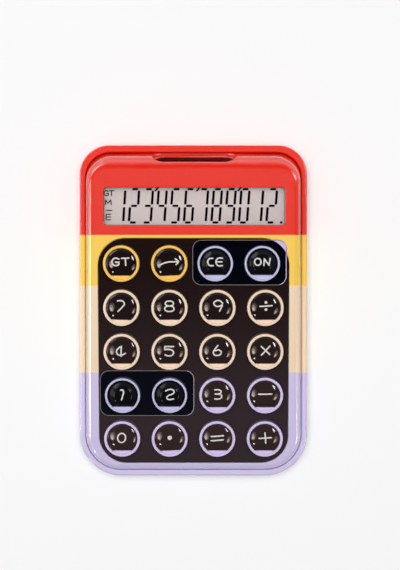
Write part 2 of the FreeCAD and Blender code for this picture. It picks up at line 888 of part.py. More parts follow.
def chip_blob():
    blob = doc.addObject("Part::Ellipsoid", "blob")
    bind(blob, Radius1="1.8", Radius2="6.5")
    blob.Angle2 = 0
    blob.Placement = on_face("12", "-8", "board_top - board_thick")
    return blob


keep(key_membrane(), "key_membrane")
keep(main_board(), "main_board")
keep(chip_blob(), "chip_blob")


# Display: window, glass, holder and ribbon

under_face = "-face_thick - window_flange_thick"
under_glass = f"{under_face} - 2 * glass_thick"


def display_window():
    """A clear window with a flange that stops it under the face."""
    window, _ = window_form("window", "(-window_gap)", "-face_thick", "face_thick - window_sink")
    sketch = new_sketch(window, level=under_face)
    rounded(sketch, "window_width / 2 + window_flange", "window_length / 2 + window_flange",
            None, "window_corner")
    pad(window, sketch, "window_flange_thick")
    return window


def glass(name, front, level):
    body = new_body(name, on_face("0", "window_along"))
    sketch = new_sketch(body, level=level)
    polygon(sketch, [
        ("-glass_width / 2", f"-({front})"),
        ("glass_width / 2", f"-({front})"),
        ("glass_width / 2", "glass_length / 2"),
        ("-glass_width / 2", "glass_length / 2"),
    ])
    pad(body, sketch, "glass_thick")
    return body


def lcd_panel():
    """Two sheets of glass; the front one overhangs for the ribbon's contacts."""
    front = glass("front_glass", "glass_length / 2", f"{under_face} - glass_thick")
    rear = glass("rear_glass", "glass_length / 2 - glass_ledge", under_glass)
    return fuse("lcd_glass", front, rear)


def lcd_holder():
    """A shallow tray round the glass, open at the front for the ribbon."""
    outer = box("holder_outside", "glass_width + 2 * holder_wall + 2 * holder_gap",
                "glass_length + 2 * holder_wall + 2 * holder_gap",
                f"-face_thick - ({under_glass}) + holder_floor",
                on_face("0", "window_along", f"{under_glass} - holder_floor"))
    inner = box("holder_pocket", "glass_width + 2 * holder_gap", "glass_length + 2 * holder_gap",
                "10", on_face("0", "window_along", under_glass))
    edge = "window_along - glass_length / 2"
    notch = box("ribbon_notch", "2 * ribbon_half_width + 2", "2 * glass_ledge + 2",
                f"-face_thick - 1 - ({under_glass}) + holder_floor",
                on_face("0", f"{edge} - 1", f"{under_glass} - holder_floor"))
    return cut("holder", outer, inner, notch)


def lcd_ribbon():
    """A flat cable bent up from the board to the underside of the front glass."""
    ribbon = new_body("ribbon", on_face())
    edge = "window_along - glass_length / 2"
    low, high = "board_top", f"{under_face} - glass_thick - ribbon_thick"
    lower = [("board_rear - 3", low), ("board_rear - 0.3", low),
             (f"{edge} + 0.1", high), (f"{edge} + glass_ledge - 0.2", high)]
    upper = [(along, f"{out} + ribbon_thick") for along, out in lower]
    upper[1] = ("board_rear - 0.4", "board_top + ribbon_thick")
    upper[2] = (edge, f"{high} + ribbon_thick")
    sketch = polygon(new_sketch(ribbon, "YZ_Plane"), lower + upper[::-1])
    pad(ribbon, sketch, "2 * ribbon_half_width", symmetric=True)
    return ribbon


keep(display_window(), "display_window")
keep(lcd_panel(), "lcd_panel")
keep(lcd_holder(), "lcd_holder")
keep(lcd_ribbon(), "lcd_ribbon")


# Solar cell and its window

def slope_slab(name, level, thick, corner):
    body = new_body(name, on_slope())
    sketch = new_sketch(body, level=level)
    rounded(sketch, "solar_half_width", "solar_half_height", None, corner)
    pad(body, sketch, thick)
    return body


keep(slope_slab("clear_cover", "-solar_glass_thick - 0.05", "solar_glass_thick",
                "solar_corner"),
     "solar_window")
keep(slope_slab("cell_slab", "-solar_wall - solar_cell_thick", "solar_cell_thick", "0.4"),
     "solar_cell")


# Battery with its contacts and door

def battery():
    cell = new_body("cell", spot("0", "bay_along", "cell_foot"))
    turned(cell, [
        ("0", "0"),
        ("cell_radius - 0.3", "0"),
        ("cell_radius", "0.3"),
        ("cell_radius", "cell_height - 0.6"),
        ("cell_radius - 0.3", "cell_height - 0.3"),
        ("cell_radius - 0.9", "cell_height - 0.3"),
        ("cell_radius - 0.9", "cell_height"),
        ("0", "cell_height"),
    ])
    return cell


cup_edge = "cup_side / 2"
cup_top_level = "foot_stand + floor_thick + cup_height"


def strip(name, points):
    """A bent contact strip, drawn from the side, across the battery bay."""
    body = new_body(name, spot("0", "bay_along"))
    sketch = polygon(new_sketch(body, "XZ_Plane"), points)
    pad(body, sketch, "strip_width", symmetric=True)
    return body


def battery_spring():
    """Hooks over the cup's edge and presses on the middle of the cell."""
    cap = "cell_foot + cell_height"
    over = f"{cup_top_level} + strip_thick"
    return strip("spring_strip", [
        (f"{cup_edge} + strip_thick", "foot_stand + floor_thick + 0.6"),
        (f"{cup_edge} + strip_thick", over),
        ("3.2", over),
        ("0.4", f"{cap} + 0.45"),
        ("-1.8", f"{cap} + 1"),
        ("-1.7", f"{cap} + 0.6"),
        ("0.3", cap),
        ("3.1", cup_top_level),
        (cup_edge, cup_top_level),
        (cup_edge, "foot_stand + floor_thick + 0.6"),
    ])


def battery_clip():
    """Hooks over the cup's other edge and touches the side of the cell."""
    side = "-cell_radius"
    over = f"{cup_top_level} + strip_thick"
    return strip("clip_strip", [
        (side, "cell_foot + 0.9"),
        (side, over),
        (f"-({cup_edge}) - strip_thick", over),
        (f"-({cup_edge}) - strip_thick", "foot_stand + floor_thick + 0.6"),
        (f"-({cup_edge})", "foot_stand + floor_thick + 0.6"),
        (f"-({cup_edge})", cup_top_level),
        (f"{side} - strip_thick", cup_top_level),
        (f"{side} - strip_thick", "cell_foot + 0.9"),
    ])


def battery_door():
    """A flat door with two fingers at its hinged edge and grooves for a thumb."""
    place = spot("0", "bay_along", "foot_stand")
    slab = box("door_slab", "door_width", "door_length", "door_thick", place)
    edge = "bay_along - door_length / 2"
    fingers = [
        box("finger", "finger_width", "2.6", "0.7", spot(x, edge, "foot_stand + 0.8"))
        for x in ("finger_across", "-finger_across")
    ]
    bumps = [
        box("bump", "3", "0.3", "0.4", spot(x, "bay_along + door_length / 2", "foot_stand + 0.5"))
        for x in ("finger_across", "-finger_across")
    ]
    grooves = [
        box("groove", f"groove_length - 2 * {i}", "groove_width", "groove_depth",
            spot("0", f"bay_along + door_length / 2 - 2 - groove_pitch * {i}", "foot_stand"))
        for i in range(4)
    ]
    return cut("door", fuse("door_whole", slab, *fingers, *bumps), *grooves)


keep(battery(), "button_cell")
keep(battery_spring(), "battery_spring")
keep(battery_clip(), "battery_clip")
keep(battery_door(), "battery_door")


# Leads

def lead(points):
    """A round lead along straight runs joined by arcs, starting square to its first run."""
    path = [FreeCAD.Vector(*p) for p in points]
    edges = []
    here = path[0]
    for before, corner, after in zip(path, path[1:], path[2:]):
        arrive, leave = (corner - before).normalize(), (after - corner).normalize()
        reach = 0.45 * min((corner - before).Length, (after - corner).Length)
        start, end = corner - arrive * reach, corner + leave * reach
        half = arrive.getAngle(leave) / 2
        toward = (leave - arrive).normalize()
        bend = reach / math.tan(half)
        middle = corner + toward * (bend / math.cos(half) - bend)
        edges.append(Part.LineSegment(here, start).toShape())
        edges.append(Part.Arc(start, middle, end).toShape())
        here = end
    edges.append(Part.LineSegment(here, path[-1]).toShape())
    first = (path[1] - path[0]).normalize()
    ring = Part.Wire(Part.Circle(path[0], first, value("lead_radius")).toShape())
    return Part.Wire(edges).makePipeShell([ring], True, True)


def on_board(across, along, below=0):
    return on_face(str(across), str(along), f"board_top - board_thick - {below}").Base


def lead_wires():
    """Leads from the solar cell and from the battery's contacts to the board."""
    shapes = []
    for side in (-1, 1):
        cell_back = on_slope(str(6 * side), "0", "-solar_wall - solar_cell_thick").Base
        away = on_slope(str(6 * side), "0", "-solar_wall - solar_cell_thick - 1.8").Base
        shapes.append(lead([
            cell_back,
            away,
            (5.6 * side, 58.6, 10.6),
            (5 * side, 34, 9.4),
            on_board(5 * side, 28, 1.5),
            on_board(5 * side, 28),
        ]))
        contact = value("cup_side / 2 + strip_thick")
        bay = value("bay_along")
        shapes.append(lead([
            (contact * side, bay, 5.2),
            (10.4 * side, bay, 5.2),
            (12.6 * side, 42, 6),
            (13 * side, 36, 8.2),
            on_board(13 * side, 28, 1.6),
            on_board(13 * side, 28),
        ]))
    wires = doc.addObject("Part::Feature", "leads")
    wires.Shape = Part.makeCompound(shapes)
    return wires


keep(lead_wires(), "lead_wires")


# Screws and feet

def screw(name, place):
    """A pan-head screw, head down, with a cross cut in its head."""
    body = new_body(name, place)
    turned(body, [
        ("0", "-head_height"),
        ("head_radius - 0.5", "-head_height"),
        ("head_radius", "-head_height + 0.5"),
        ("head_radius", "0"),
        ("shank_radius", "0"),
        ("shank_radius", "screw_reach - 0.8"),
        ("0.3", "screw_reach"),
        ("0", "screw_reach"),
    ])
    cross = [
        box("cross", width, length, "0.8", place.multiply(spot(z="-head_height")))
        for width, length in (("2.3", "0.5"), ("0.5", "2.3"))
    ]
    return cut(f"{name}_cross", body, *cross)


def foot(name, place):
    body = new_body(name, place)
    turned(body, [
        ("0", "0"),
        ("foot_radius - 0.3", "0"),
        ("foot_radius", "0.3"),
        ("foot_radius", "foot_stand + foot_sink"),
        ("0", "foot_stand + foot_sink"),
    ])
    return body


screws = [screw("screw", spot(x, y, "screw_seat")) for x, y in front_screws + rear_screws]
keep(group("screws", screws), "case_screws")
keep(group("feet", [foot("foot", spot(x, y)) for x, y in feet]), "rubber_feet")


# Check and write every sub-part

doc.recompute()
wrong = [o.Name for o in doc.Objects if {"Invalid", "Error"} & set(o.State)]
if wrong:
    raise ValueError(f"not computed: {wrong}")
if len(nodes) > 60:
    raise ValueError(f"{len(nodes)} sub-parts")
for name, thing in nodes.items():
    shape = thing.Shape
    if shape.isNull() or not shape.isValid() or not shape.Solids:
        raise ValueError(f"{name} has no valid solid")
    shape.exportStep(f"parts/{name}.step")
    print(name, len(shape.Solids), round(shape.Volume, 2))
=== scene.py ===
import json
import math

import bmesh
import bpy
from mathutils import Matrix, Vector


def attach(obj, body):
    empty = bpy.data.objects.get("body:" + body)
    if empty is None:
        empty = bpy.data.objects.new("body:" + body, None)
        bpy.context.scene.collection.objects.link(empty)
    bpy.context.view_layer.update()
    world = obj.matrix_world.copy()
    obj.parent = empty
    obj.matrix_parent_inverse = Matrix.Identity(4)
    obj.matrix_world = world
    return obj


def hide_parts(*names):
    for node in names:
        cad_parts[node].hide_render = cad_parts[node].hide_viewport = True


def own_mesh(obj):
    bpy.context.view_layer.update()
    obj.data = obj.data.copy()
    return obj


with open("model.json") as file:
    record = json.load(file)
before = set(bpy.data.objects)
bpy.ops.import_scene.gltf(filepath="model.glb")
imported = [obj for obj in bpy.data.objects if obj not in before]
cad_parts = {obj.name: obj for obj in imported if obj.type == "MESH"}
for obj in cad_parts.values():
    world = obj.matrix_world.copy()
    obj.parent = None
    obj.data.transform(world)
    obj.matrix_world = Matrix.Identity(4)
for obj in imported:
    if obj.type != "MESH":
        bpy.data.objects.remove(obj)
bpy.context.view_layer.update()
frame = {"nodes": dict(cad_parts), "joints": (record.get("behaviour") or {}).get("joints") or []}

# A flat desk calculator in four colour bands, with twenty domed keys, a grey display
# and a solar cell in its rear slope. Shapes are drawn in millimetres and scaled at the end.
millimetre = 0.001
joinDistance = 2e-6  # vertices of a CAD mesh closer than this, in metres, are one
scene = bpy.context.scene
scene.view_settings.view_transform = "Standard"


# The sloping face: its tilt comes from the axis that the keys move along

faceHeight = 17.2
inward = Vector(frame["joints"][0]["axis"])
faceTilt = math.atan2(inward.y, -inward.z)
facePlace = Matrix.Translation((0, 0, faceHeight)) @ Matrix.Rotation(faceTilt, 4, "X")
outward = facePlace.to_3x3() @ Vector((0, 0, 1))


def onFace(x=0, y=0, out=0, turn=0):
    spot = Matrix.Translation((x, y, out)) @ Matrix.Rotation(math.radians(turn), 4, "Z")
    return facePlace @ spot


# Camera, straight above the object, as far off as the perspective of the photograph shows

view = {"x": 2.9, "y": 11.2, "height": 450, "lens": 63.37, "sensor": 36, "clip": 10}


def makeCamera():
    camera = bpy.data.objects.new("camera", bpy.data.cameras.new("camera"))
    scene.collection.objects.link(camera)
    camera.location = Vector((view["x"], view["y"], view["height"])) * millimetre
    camera.data.sensor_width = view["sensor"]
    camera.data.lens = view["lens"]
    camera.data.clip_start = view["clip"] * millimetre
    scene.camera = camera


# Floor, world and lamps

floor = {"size": 6.0, "colour": (0.93, 0.935, 0.94), "roughness": 0.7}
# The sky is dim at the horizon and bright overhead for light, and the reverse for gloss.
sky = {
    "colour": (0.985, 0.99, 1.0),
    "light": {"from": 0.0, "to": 0.8, "low": 0.14, "high": 0.28},
    "gloss": {"from": -0.2, "to": 0.6, "low": 1.7, "high": 0.03},
    "lean": 0.12,
    "glossLean": -0.35,
}
# Angles are from +X towards +Y and up from the floor, and sizes and distances in metres.
# The key lamp lights the colours, and the others only show in the gloss.
lamps = {
    "key": {"turn": 110, "rise": 85, "away": 1.2, "wide": 1.0, "high": 1.0, "glow": 5.3},
    "dash": {"turn": 24, "rise": 42, "away": 1.0, "wide": 0.32, "high": 0.085, "glow": 54},
    "dot": {"turn": 225, "rise": 32, "away": 1.2, "wide": 0.12, "high": 0.12, "glow": 43.2},
    "leftHaze": {"turn": 184, "rise": 46, "away": 1.25, "wide": 0.66, "high": 0.5, "glow": 2.7},
    "leftGlow": {"turn": 192, "rise": 42, "away": 1.2, "wide": 0.54, "high": 0.36, "glow": 8.1},
    "leftCore": {"turn": 197, "rise": 40, "away": 1.15, "wide": 0.26, "high": 0.18, "glow": 14},
    "rightHaze": {"turn": -22, "rise": 35, "away": 1.25, "wide": 0.5, "high": 0.34, "glow": 3.6},
    "rightCore": {"turn": -30, "rise": 36, "away": 1.15, "wide": 0.3, "high": 0.15, "glow": 14},
    "sideGlow": {"turn": 132, "rise": 26, "away": 1.3, "wide": 0.95, "high": 0.3, "glow": 7},
    "sideHaze": {"turn": 178, "rise": 19, "away": 1.3, "wide": 0.9, "high": 0.3, "glow": 3.6},
}

lampColours = {"warm": (1.0, 0.82, 0.74), "plain": (1.0, 0.995, 0.985)}
warmLamps = ("left", "right")  # how their names start
lampAim = 0.02  # height that the lamps point at


def makeLamp(name, lamp):
    data = bpy.data.lights.new(name, "AREA")
    data.shape = "ELLIPSE"
    data.size, data.size_y = lamp["wide"], lamp["high"]
    data.color = lampColours["warm" if name.startswith(warmLamps) else "plain"]
    data.energy = lamp["glow"] * math.pi ** 2 / 4 * lamp["wide"] * lamp["high"]
    lampObject = bpy.data.objects.new(name, data)
    scene.collection.objects.link(lampObject)
    lampObject.visible_diffuse = name == "key"
    lampObject.visible_glossy = name != "key"
    turn, rise = math.radians(lamp["turn"]), math.radians(lamp["rise"])
    level = math.cos(rise)
    toward = Vector((math.cos(turn) * level, math.sin(turn) * level, math.sin(rise)))
    lampObject.location = toward * lamp["away"] + Vector((0, 0, lampAim))
    lampObject.rotation_euler = toward.to_track_quat("Z", "Y").to_euler()


def makeWorld():
    world = bpy.data.worlds.new("studio")
    scene.world = world
    world.use_nodes = True
    tree = world.node_tree
    background = tree.nodes["Background"]
    background.inputs["Color"].default_value = (*sky["colour"], 1)
    path = tree.nodes.new("ShaderNodeLightPath")
    split = tree.nodes.new("ShaderNodeSeparateXYZ")
    direction = tree.nodes.new("ShaderNodeTexCoord").outputs["Generated"]
    tree.links.new(direction, split.inputs[0])
    light = rampNode(tree, split.outputs["Z"], sky["light"])
    tipped = mathNode(tree, "MULTIPLY", split.outputs["Y"], sky["glossLean"])
    gloss = rampNode(tree, mathNode(tree, "ADD", split.outputs["Z"], tipped), sky["gloss"])
    lean = mathNode(tree, "ADD", mathNode(tree, "MULTIPLY", split.outputs["Y"], sky["lean"]), 1.0)
    light = mathNode(tree, "MULTIPLY", light, lean)
    mirrored = mixNumber(tree, path.outputs["Is Glossy Ray"], light, gloss)
    direct = mathNode(tree, "MAXIMUM", path.outputs["Is Camera Ray"],
                      path.outputs["Is Transmission Ray"])
    tree.links.new(mixNumber(tree, direct, mirrored, 1.0), background.inputs["Strength"])


def makeFloor():
    bm = bmesh.new()
    bmesh.ops.create_grid(bm, x_segments=1, y_segments=1, size=floor["size"] / 2)
    mesh = bpy.data.meshes.new("floor")
    bm.to_mesh(mesh)
    bm.free()
    floorObject = bpy.data.objects.new("floor", mesh)
    scene.collection.objects.link(floorObject)
    mesh.materials.append(plainMaterial("floorPaper", floor["colour"], floor["roughness"]))


# Small helpers for nodes

# Links a socket, or sets a plain value.
def linkIn(links, source, target):
    if hasattr(source, "links"):
        links.new(source, target)
    else:
        target.default_value = source


def newGroup(name, inputs, outputs):
    group = bpy.data.node_groups.new(name, "ShaderNodeTree")
    for label, kind, value in inputs:
        socket = group.interface.new_socket(label, in_out="INPUT", socket_type=kind)
        socket.default_value = value
    for label, kind in outputs:
        group.interface.new_socket(label, in_out="OUTPUT", socket_type=kind)
    entry = group.nodes.new("NodeGroupInput")
    leave = group.nodes.new("NodeGroupOutput")
    return group, entry.outputs, leave.inputs


def mathNode(tree, operation, first, second):
    node = tree.nodes.new("ShaderNodeMath")
    node.operation = operation
    linkIn(tree.links, first, node.inputs[0])
    linkIn(tree.links, second, node.inputs[1])
    return node.outputs[0]


def mixNumber(tree, share, first, second):
    node = tree.nodes.new("ShaderNodeMix")
    linkIn(tree.links, share, node.inputs[0])
    linkIn(tree.links, first, node.inputs[2])
    linkIn(tree.links, second, node.inputs[3])
    return node.outputs[0]


def mixColour(tree, share, first, second):
    node = tree.nodes.new("ShaderNodeMix")
    node.data_type = "RGBA"
    linkIn(tree.links, share, node.inputs[0])
    linkIn(tree.links, first, node.inputs[6])
    linkIn(tree.links, second, node.inputs[7])
    return node.outputs[2]


# Runs smoothly from a low to a high value.
def rampNode(tree, source, ramp):
    node = tree.nodes.new("ShaderNodeMapRange")
    node.interpolation_type = "SMOOTHSTEP"
    node.inputs["From Min"].default_value = ramp["from"]
    node.inputs["From Max"].default_value = ramp["to"]
    node.inputs["To Min"].default_value = ramp["low"]
    node.inputs["To Max"].default_value = ramp["high"]
    tree.links.new(source, node.inputs["Value"])
    return node.outputs[0]


def noiseNode(tree, where, scale, detail=2.0):
    node = tree.nodes.new("ShaderNodeTexNoise")
    tree.links.new(where, node.inputs["Vector"])
    linkIn(tree.links, scale, node.inputs["Scale"])
    node.inputs["Detail"].default_value = detail
    return node.outputs["Fac"]


# Node groups that several materials share

# Scales are in repeats per metre, and the bump's distance in metres.
finishNoise = {"cloud": 55.0, "cloudDetail": 3.0, "smear": 420.0, "smearDetail": 4.0,
               "speckShare": 0.5, "bump": 0.00004}


# Moulded plastic, rubber or metal: a fine grain, slow colour drift and uneven gloss.
def makeFinishGroup():
    number, colour = "NodeSocketFloat", "NodeSocketColor"
    tree, given, made = newGroup("mouldedFinish", [
        ("Colour", colour, (0.5, 0.5, 0.5, 1)),
        ("Drift", number, 0.04),
        ("Grain Scale", number, 3000.0),
        ("Grain Height", number, 0.1),
        ("Roughness", number, 0.4),
        ("Roughness Drift", number, 0.08),
    ], [("Colour", colour), ("Roughness", number), ("Normal", "NodeSocketVector")])
    where = tree.nodes.new("ShaderNodeTexCoord").outputs["Object"]
    cloud = noiseNode(tree, where, finishNoise["cloud"], finishNoise["cloudDetail"])
    smear = noiseNode(tree, where, finishNoise["smear"], finishNoise["smearDetail"])
    grain = noiseNode(tree, where, given["Grain Scale"])
    centred = mathNode(tree, "SUBTRACT", cloud, 0.5)
    speck = mathNode(tree, "SUBTRACT", grain, 0.5)
    speck = mathNode(tree, "MULTIPLY", speck, finishNoise["speckShare"])
    both = mathNode(tree, "ADD", centred, speck)
    lift = mathNode(tree, "ADD", mathNode(tree, "MULTIPLY", both, given["Drift"]), 1.0)
    tint = tree.nodes.new("ShaderNodeHueSaturation")
    tree.links.new(given["Colour"], tint.inputs["Color"])
    tree.links.new(lift, tint.inputs["Value"])
    tree.links.new(tint.outputs[0], made["Colour"])
    uneven = mathNode(tree, "SUBTRACT", smear, 0.5)
    gloss = mathNode(tree, "MULTIPLY", uneven, given["Roughness Drift"])
    tree.links.new(mathNode(tree, "ADD", gloss, given["Roughness"]), made["Roughness"])
    bump = tree.nodes.new("ShaderNodeBump")
    bump.inputs["Distance"].default_value = finishNoise["bump"]
    tree.links.new(given["Grain Height"], bump.inputs["Strength"])
    tree.links.new(grain, bump.inputs["Height"])
    tree.links.new(bump.outputs[0], made["Normal"])
    return tree


# The borders lie where the bands end along the rim, as seen from the camera.
bands = {
    "red": (0.81, 0.015, 0.001),
    "yellow": (0.93, 0.59, 0.070),
    "beige": (0.86, 0.66, 0.46),
    "lavender": (0.60, 0.53, 0.78),
    "rim": 9.0,
    "redEnds": 33.2,
    "yellowEnds": 10.95,
    "beigeEnds": -27.25,
}


# Four colours along Y, with borders that run level over both shells as seen from above.
def makeBandGroup():
    colour = "NodeSocketColor"
    names = ("red", "yellow", "beige", "lavender")
    tree, given, made = newGroup(
        "colourBands", [(name, colour, (*bands[name], 1)) for name in names], [("Colour", colour)])
    split = tree.nodes.new("ShaderNodeSeparateXYZ")
    tree.links.new(tree.nodes.new("ShaderNodeTexCoord").outputs["Object"], split.inputs[0])
    eyeY, eyeHeight = view["y"] * millimetre, view["height"] * millimetre
    away = mathNode(tree, "SUBTRACT", split.outputs["Y"], eyeY)
    depth = mathNode(tree, "SUBTRACT", eyeHeight, split.outputs["Z"])
    along = mathNode(tree, "MULTIPLY", mathNode(tree, "DIVIDE", away, depth),
                     eyeHeight - bands["rim"] * millimetre)
    chosen = given["lavender"]
    for name, border in (("beige", "beigeEnds"), ("yellow", "yellowEnds"), ("red", "redEnds")):
        beyond = mathNode(tree, "GREATER_THAN", along, bands[border] * millimetre - eyeY)
        chosen = mixColour(tree, beyond, chosen, given[name])
    tree.links.new(chosen, made["Colour"])
    return tree


# Where the painted reflection runs from its front colour to its rear one, in millimetres along Y.
paintedReflectionFade = {"from": -62.0, "to": 28.0, "low": 0.0, "high": 1.0}


# One colour at the front row of keys, fading to another at the rear row: a painted reflection,
# lighter at the front as a veil of reflected light would make it.
def makePaintedReflectionGroup():
    colour, black = "NodeSocketColor", (0, 0, 0, 1)
    tree, given, made = newGroup(
        "paintedReflectionFade", [("Front", colour, black), ("Rear", colour, black)], [("Colour", colour)])
    split = tree.nodes.new("ShaderNodeSeparateXYZ")
    tree.links.new(tree.nodes.new("ShaderNodeTexCoord").outputs["Object"], split.inputs[0])
    along = mathNode(tree, "DIVIDE", split.outputs["Y"], millimetre)
    share = rampNode(tree, along, paintedReflectionFade)
    tree.links.new(mixColour(tree, share, given["Front"], given["Rear"]), made["Colour"])
    return tree


# Materials

middleGrey = (0.5, 0.5, 0.5)
clearFrom = 0.5  # how far edge on a clear surface turns before it starts to close


def plainMaterial(name, colour, roughness):
    material = bpy.data.materials.new(name)
    material.use_nodes = True
    shader = material.node_tree.nodes["Principled BSDF"]
    shader.inputs["Base Color"].default_value = (*colour, 1)
    shader.inputs["Roughness"].default_value = roughness
    return material


# A material whose colour, gloss and normal come through the moulded finish.
def finished(name, colour, roughness, grain=3000.0, height=0.1, drift=0.04, gloss=0.06, **sockets):
    material = plainMaterial(name, colour, roughness)
    tree = material.node_tree
    shader = tree.nodes["Principled BSDF"]
    finish = tree.nodes.new("ShaderNodeGroup")
    finish.node_tree = finishGroup
    finish.inputs["Colour"].default_value = (*colour, 1)
    finish.inputs["Drift"].default_value = drift
    finish.inputs["Grain Scale"].default_value = grain
    finish.inputs["Grain Height"].default_value = height
    finish.inputs["Roughness"].default_value = roughness
    finish.inputs["Roughness Drift"].default_value = gloss
    tree.links.new(finish.outputs["Colour"], shader.inputs["Base Color"])
    tree.links.new(finish.outputs["Roughness"], shader.inputs["Roughness"])
    tree.links.new(finish.outputs["Normal"], shader.inputs["Normal"])
    for label, value in sockets.items():
        shader.inputs[label.replace("_", " ")].default_value = value
    return material


# A finished material whose colour comes from a pattern of its own.
def patterned(name, group, roughness, colours=(), **sockets):
    material = finished(name, middleGrey, roughness, **sockets)
    tree = material.node_tree
    pattern = tree.nodes.new("ShaderNodeGroup")
    pattern.node_tree = group
    for socket, colour in zip(pattern.inputs, colours):
        socket.default_value = (*colour, 1)
    finish = next(n for n in tree.nodes if n.type == "GROUP" and n.node_tree == finishGroup)
    tree.links.new(pattern.outputs[0], finish.inputs["Colour"])
    return material


# Clear plastic or glass: nearly open when seen face on, and closing towards its edges.
def clearMaterial(name, colour, faceOn, edgeOn, roughness=0.03, ior=1.45):
    material = plainMaterial(name, colour, roughness)
    tree = material.node_tree
    shader = tree.nodes["Principled BSDF"]
    shader.inputs["IOR"].default_value = ior
    facing = tree.nodes.new("ShaderNodeLayerWeight").outputs["Facing"]
    ramp = {"from": clearFrom, "to": 1.0, "low": faceOn, "high": edgeOn}
    tree.links.new(rampNode(tree, facing, ramp), shader.inputs["Alpha"])
    return material


finishGroup = makeFinishGroup()
bandGroup = makeBandGroup()
paintedReflectionGroup = makePaintedReflectionGroup()
materials = {
    "case": patterned("bandedPlastic", bandGroup, 0.26, grain=3400, height=0.02, drift=0.012,
                      Coat_Weight=1.0, Coat_Roughness=0.19, Coat_IOR=1.7, IOR=1.25),
    "notch": patterned("bandedMatt", bandGroup, 0.75, grain=2600, height=0.05, drift=0.012,
                       IOR=1.2),
    # The plate, panels and domes are lighter towards the front rows: painted reflection, not their
    # own colour.
    "plate": patterned("plateBlack", paintedReflectionGroup, 0.12,
                       [(0.033, 0.022, 0.026), (0.012, 0.005, 0.004)],
                       grain=1800, height=0.04, IOR=1.4),
    "panel": patterned("panelBlack", paintedReflectionGroup, 0.08,
                       [(0.004, 0.004, 0.008), (0.001, 0.001, 0.004)],
                       grain=1800, height=0.03, IOR=1.3),
    # The panel edge lines are painted highlight: dim on their left part and brighter on their
    # right part.
    "panelEdgeHighlight": finished("panelEdgeHighlight", (0.16, 0.14, 0.14), 0.2),
    "panelBrightHighlight": finished("panelBrightHighlight", (0.34, 0.30, 0.33), 0.2),
    "panelCorner": finished("panelCorner", (0.58, 0.47, 0.72), 0.2),
    "dome": patterned("keyDome", paintedReflectionGroup, 0.08,
                      [(0.032, 0.0185, 0.0185), (0.010, 0.005, 0.006)],
                      height=0.02, gloss=0.02, IOR=1.35),
    "slimDome": finished("slimKeyDome", (0.004, 0.004, 0.006), 0.16, height=0.02, gloss=0.02,
                         IOR=1.2),
    "ink": finished("legendInk", (0.66, 0.63, 0.60), 0.45, grain=5000, height=0.06),
    "window": clearMaterial("windowClear", (0.05, 0.05, 0.05), 0.01, 0.2),
    "glass": clearMaterial("displayGlass", (0.05, 0.05, 0.05), 0.005, 0.15),
    "lcdGround": finished("lcdGround", (0.66, 0.57, 0.56), 0.5, grain=1500, height=0.05,
                          drift=0.05),
    "lcdInk": finished("lcdInk", (0.003, 0.002, 0.002), 0.6, drift=0.01, IOR=1.1),
    "lcdFaintInk": finished("lcdFaintInk", (0.045, 0.035, 0.035), 0.5, IOR=1.1),
    "solarCover": clearMaterial("solarCover", (0.030, 0.004, 0.003), 0.6, 0.95, ior=1.06),
    "silicon": finished("siliconBrown", (0.014, 0.007, 0.009), 0.3, grain=900, height=0.03,
                        drift=0.2),
    "cellLine": finished("cellLine", (0.42, 0.36, 0.30), 0.35, Metallic=0.8),
    "holder": finished("holderWhite", (0.78, 0.78, 0.76), 0.5, height=0.2),
    "ribbon": finished("ribbonAmber", (0.60, 0.27, 0.05), 0.25, drift=0.15),
    "board": finished("boardGreen", (0.015, 0.14, 0.045), 0.35, grain=1200, height=0.1, drift=0.2),
    "carbon": finished("carbonPad", (0.012, 0.012, 0.013), 0.6, grain=6000, height=0.3),
    "chip": finished("chipResin", (0.010, 0.010, 0.011), 0.18, grain=700, height=0.5),
    "rubber": finished("sheetRubber", (0.42, 0.43, 0.44), 0.6, grain=4000, height=0.4, drift=0.1),
    "footRubber": finished("footRubber", (0.030, 0.029, 0.031), 0.75, grain=3800, height=0.7,
                           drift=0.2),
    "steel": finished("cellSteel", (0.56, 0.56, 0.55), 0.28, grain=2500, height=0.1, gloss=0.15,
                      Metallic=1.0),
    "contact": finished("contactSteel", (0.60, 0.58, 0.54), 0.3, gloss=0.15, Metallic=1.0),
    "screw": finished("screwSteel", (0.42, 0.41, 0.40), 0.33, grain=2200, height=0.15, gloss=0.15,
                      Metallic=1.0),
    "lead": finished("leadInsulation", (0.55, 0.02, 0.02), 0.4, height=0.1),
}
# Each key colour has a darker, matt twin for the outside of the cup: painted shade, standing in
# for the shadow that the plate casts on that wall.
keyColours = {
    "yellow": (0.90, 0.53, 0.10),
    "cream": (0.87, 0.66, 0.50),
    "lavender": (0.63, 0.53, 0.80),
    "lilac": (0.52, 0.51, 0.75),
}
keyFinish = {"rim": 0.32, "wall": 0.5, "wallShade": 0.28}
for name, colour in keyColours.items():
    shaded = [keyFinish["wallShade"] * part for part in colour]
    materials[name] = finished(f"key{name.capitalize()}", colour, keyFinish["rim"])
    materials[f"{name}Wall"] = finished(f"{name}Wall", shaded, keyFinish["wall"])
print("materials ready")


# Drawing helpers, in millimetres

drawing = {"join": 1e-4, "cut": 1e-5}  # how near vertices count as one, or as on a cut


# Turns a half profile of (radius, height) points about Z, with some corners rounded.
def spinProfile(bm, points, steps, rounds=()):
    verts = [bm.verts.new((radius, 0, height)) for radius, height in points]
    for start, end in zip(verts, verts[1:]):
        bm.edges.new((start, end))
    for index, size in rounds:
        bmesh.ops.bevel(bm, geom=[verts[index]], offset=size, offset_type="OFFSET", segments=5,
                        profile=0.5, affect="VERTICES", material=-1)
    geom = list(bm.verts) + list(bm.edges)
    bmesh.ops.spin(bm, geom=geom, cent=(0, 0, 0), axis=(0, 0, 1), dvec=(0, 0, 0),
                   angle=math.tau, steps=steps, use_merge=True)
    bmesh.ops.remove_doubles(bm, verts=bm.verts, dist=drawing["join"])


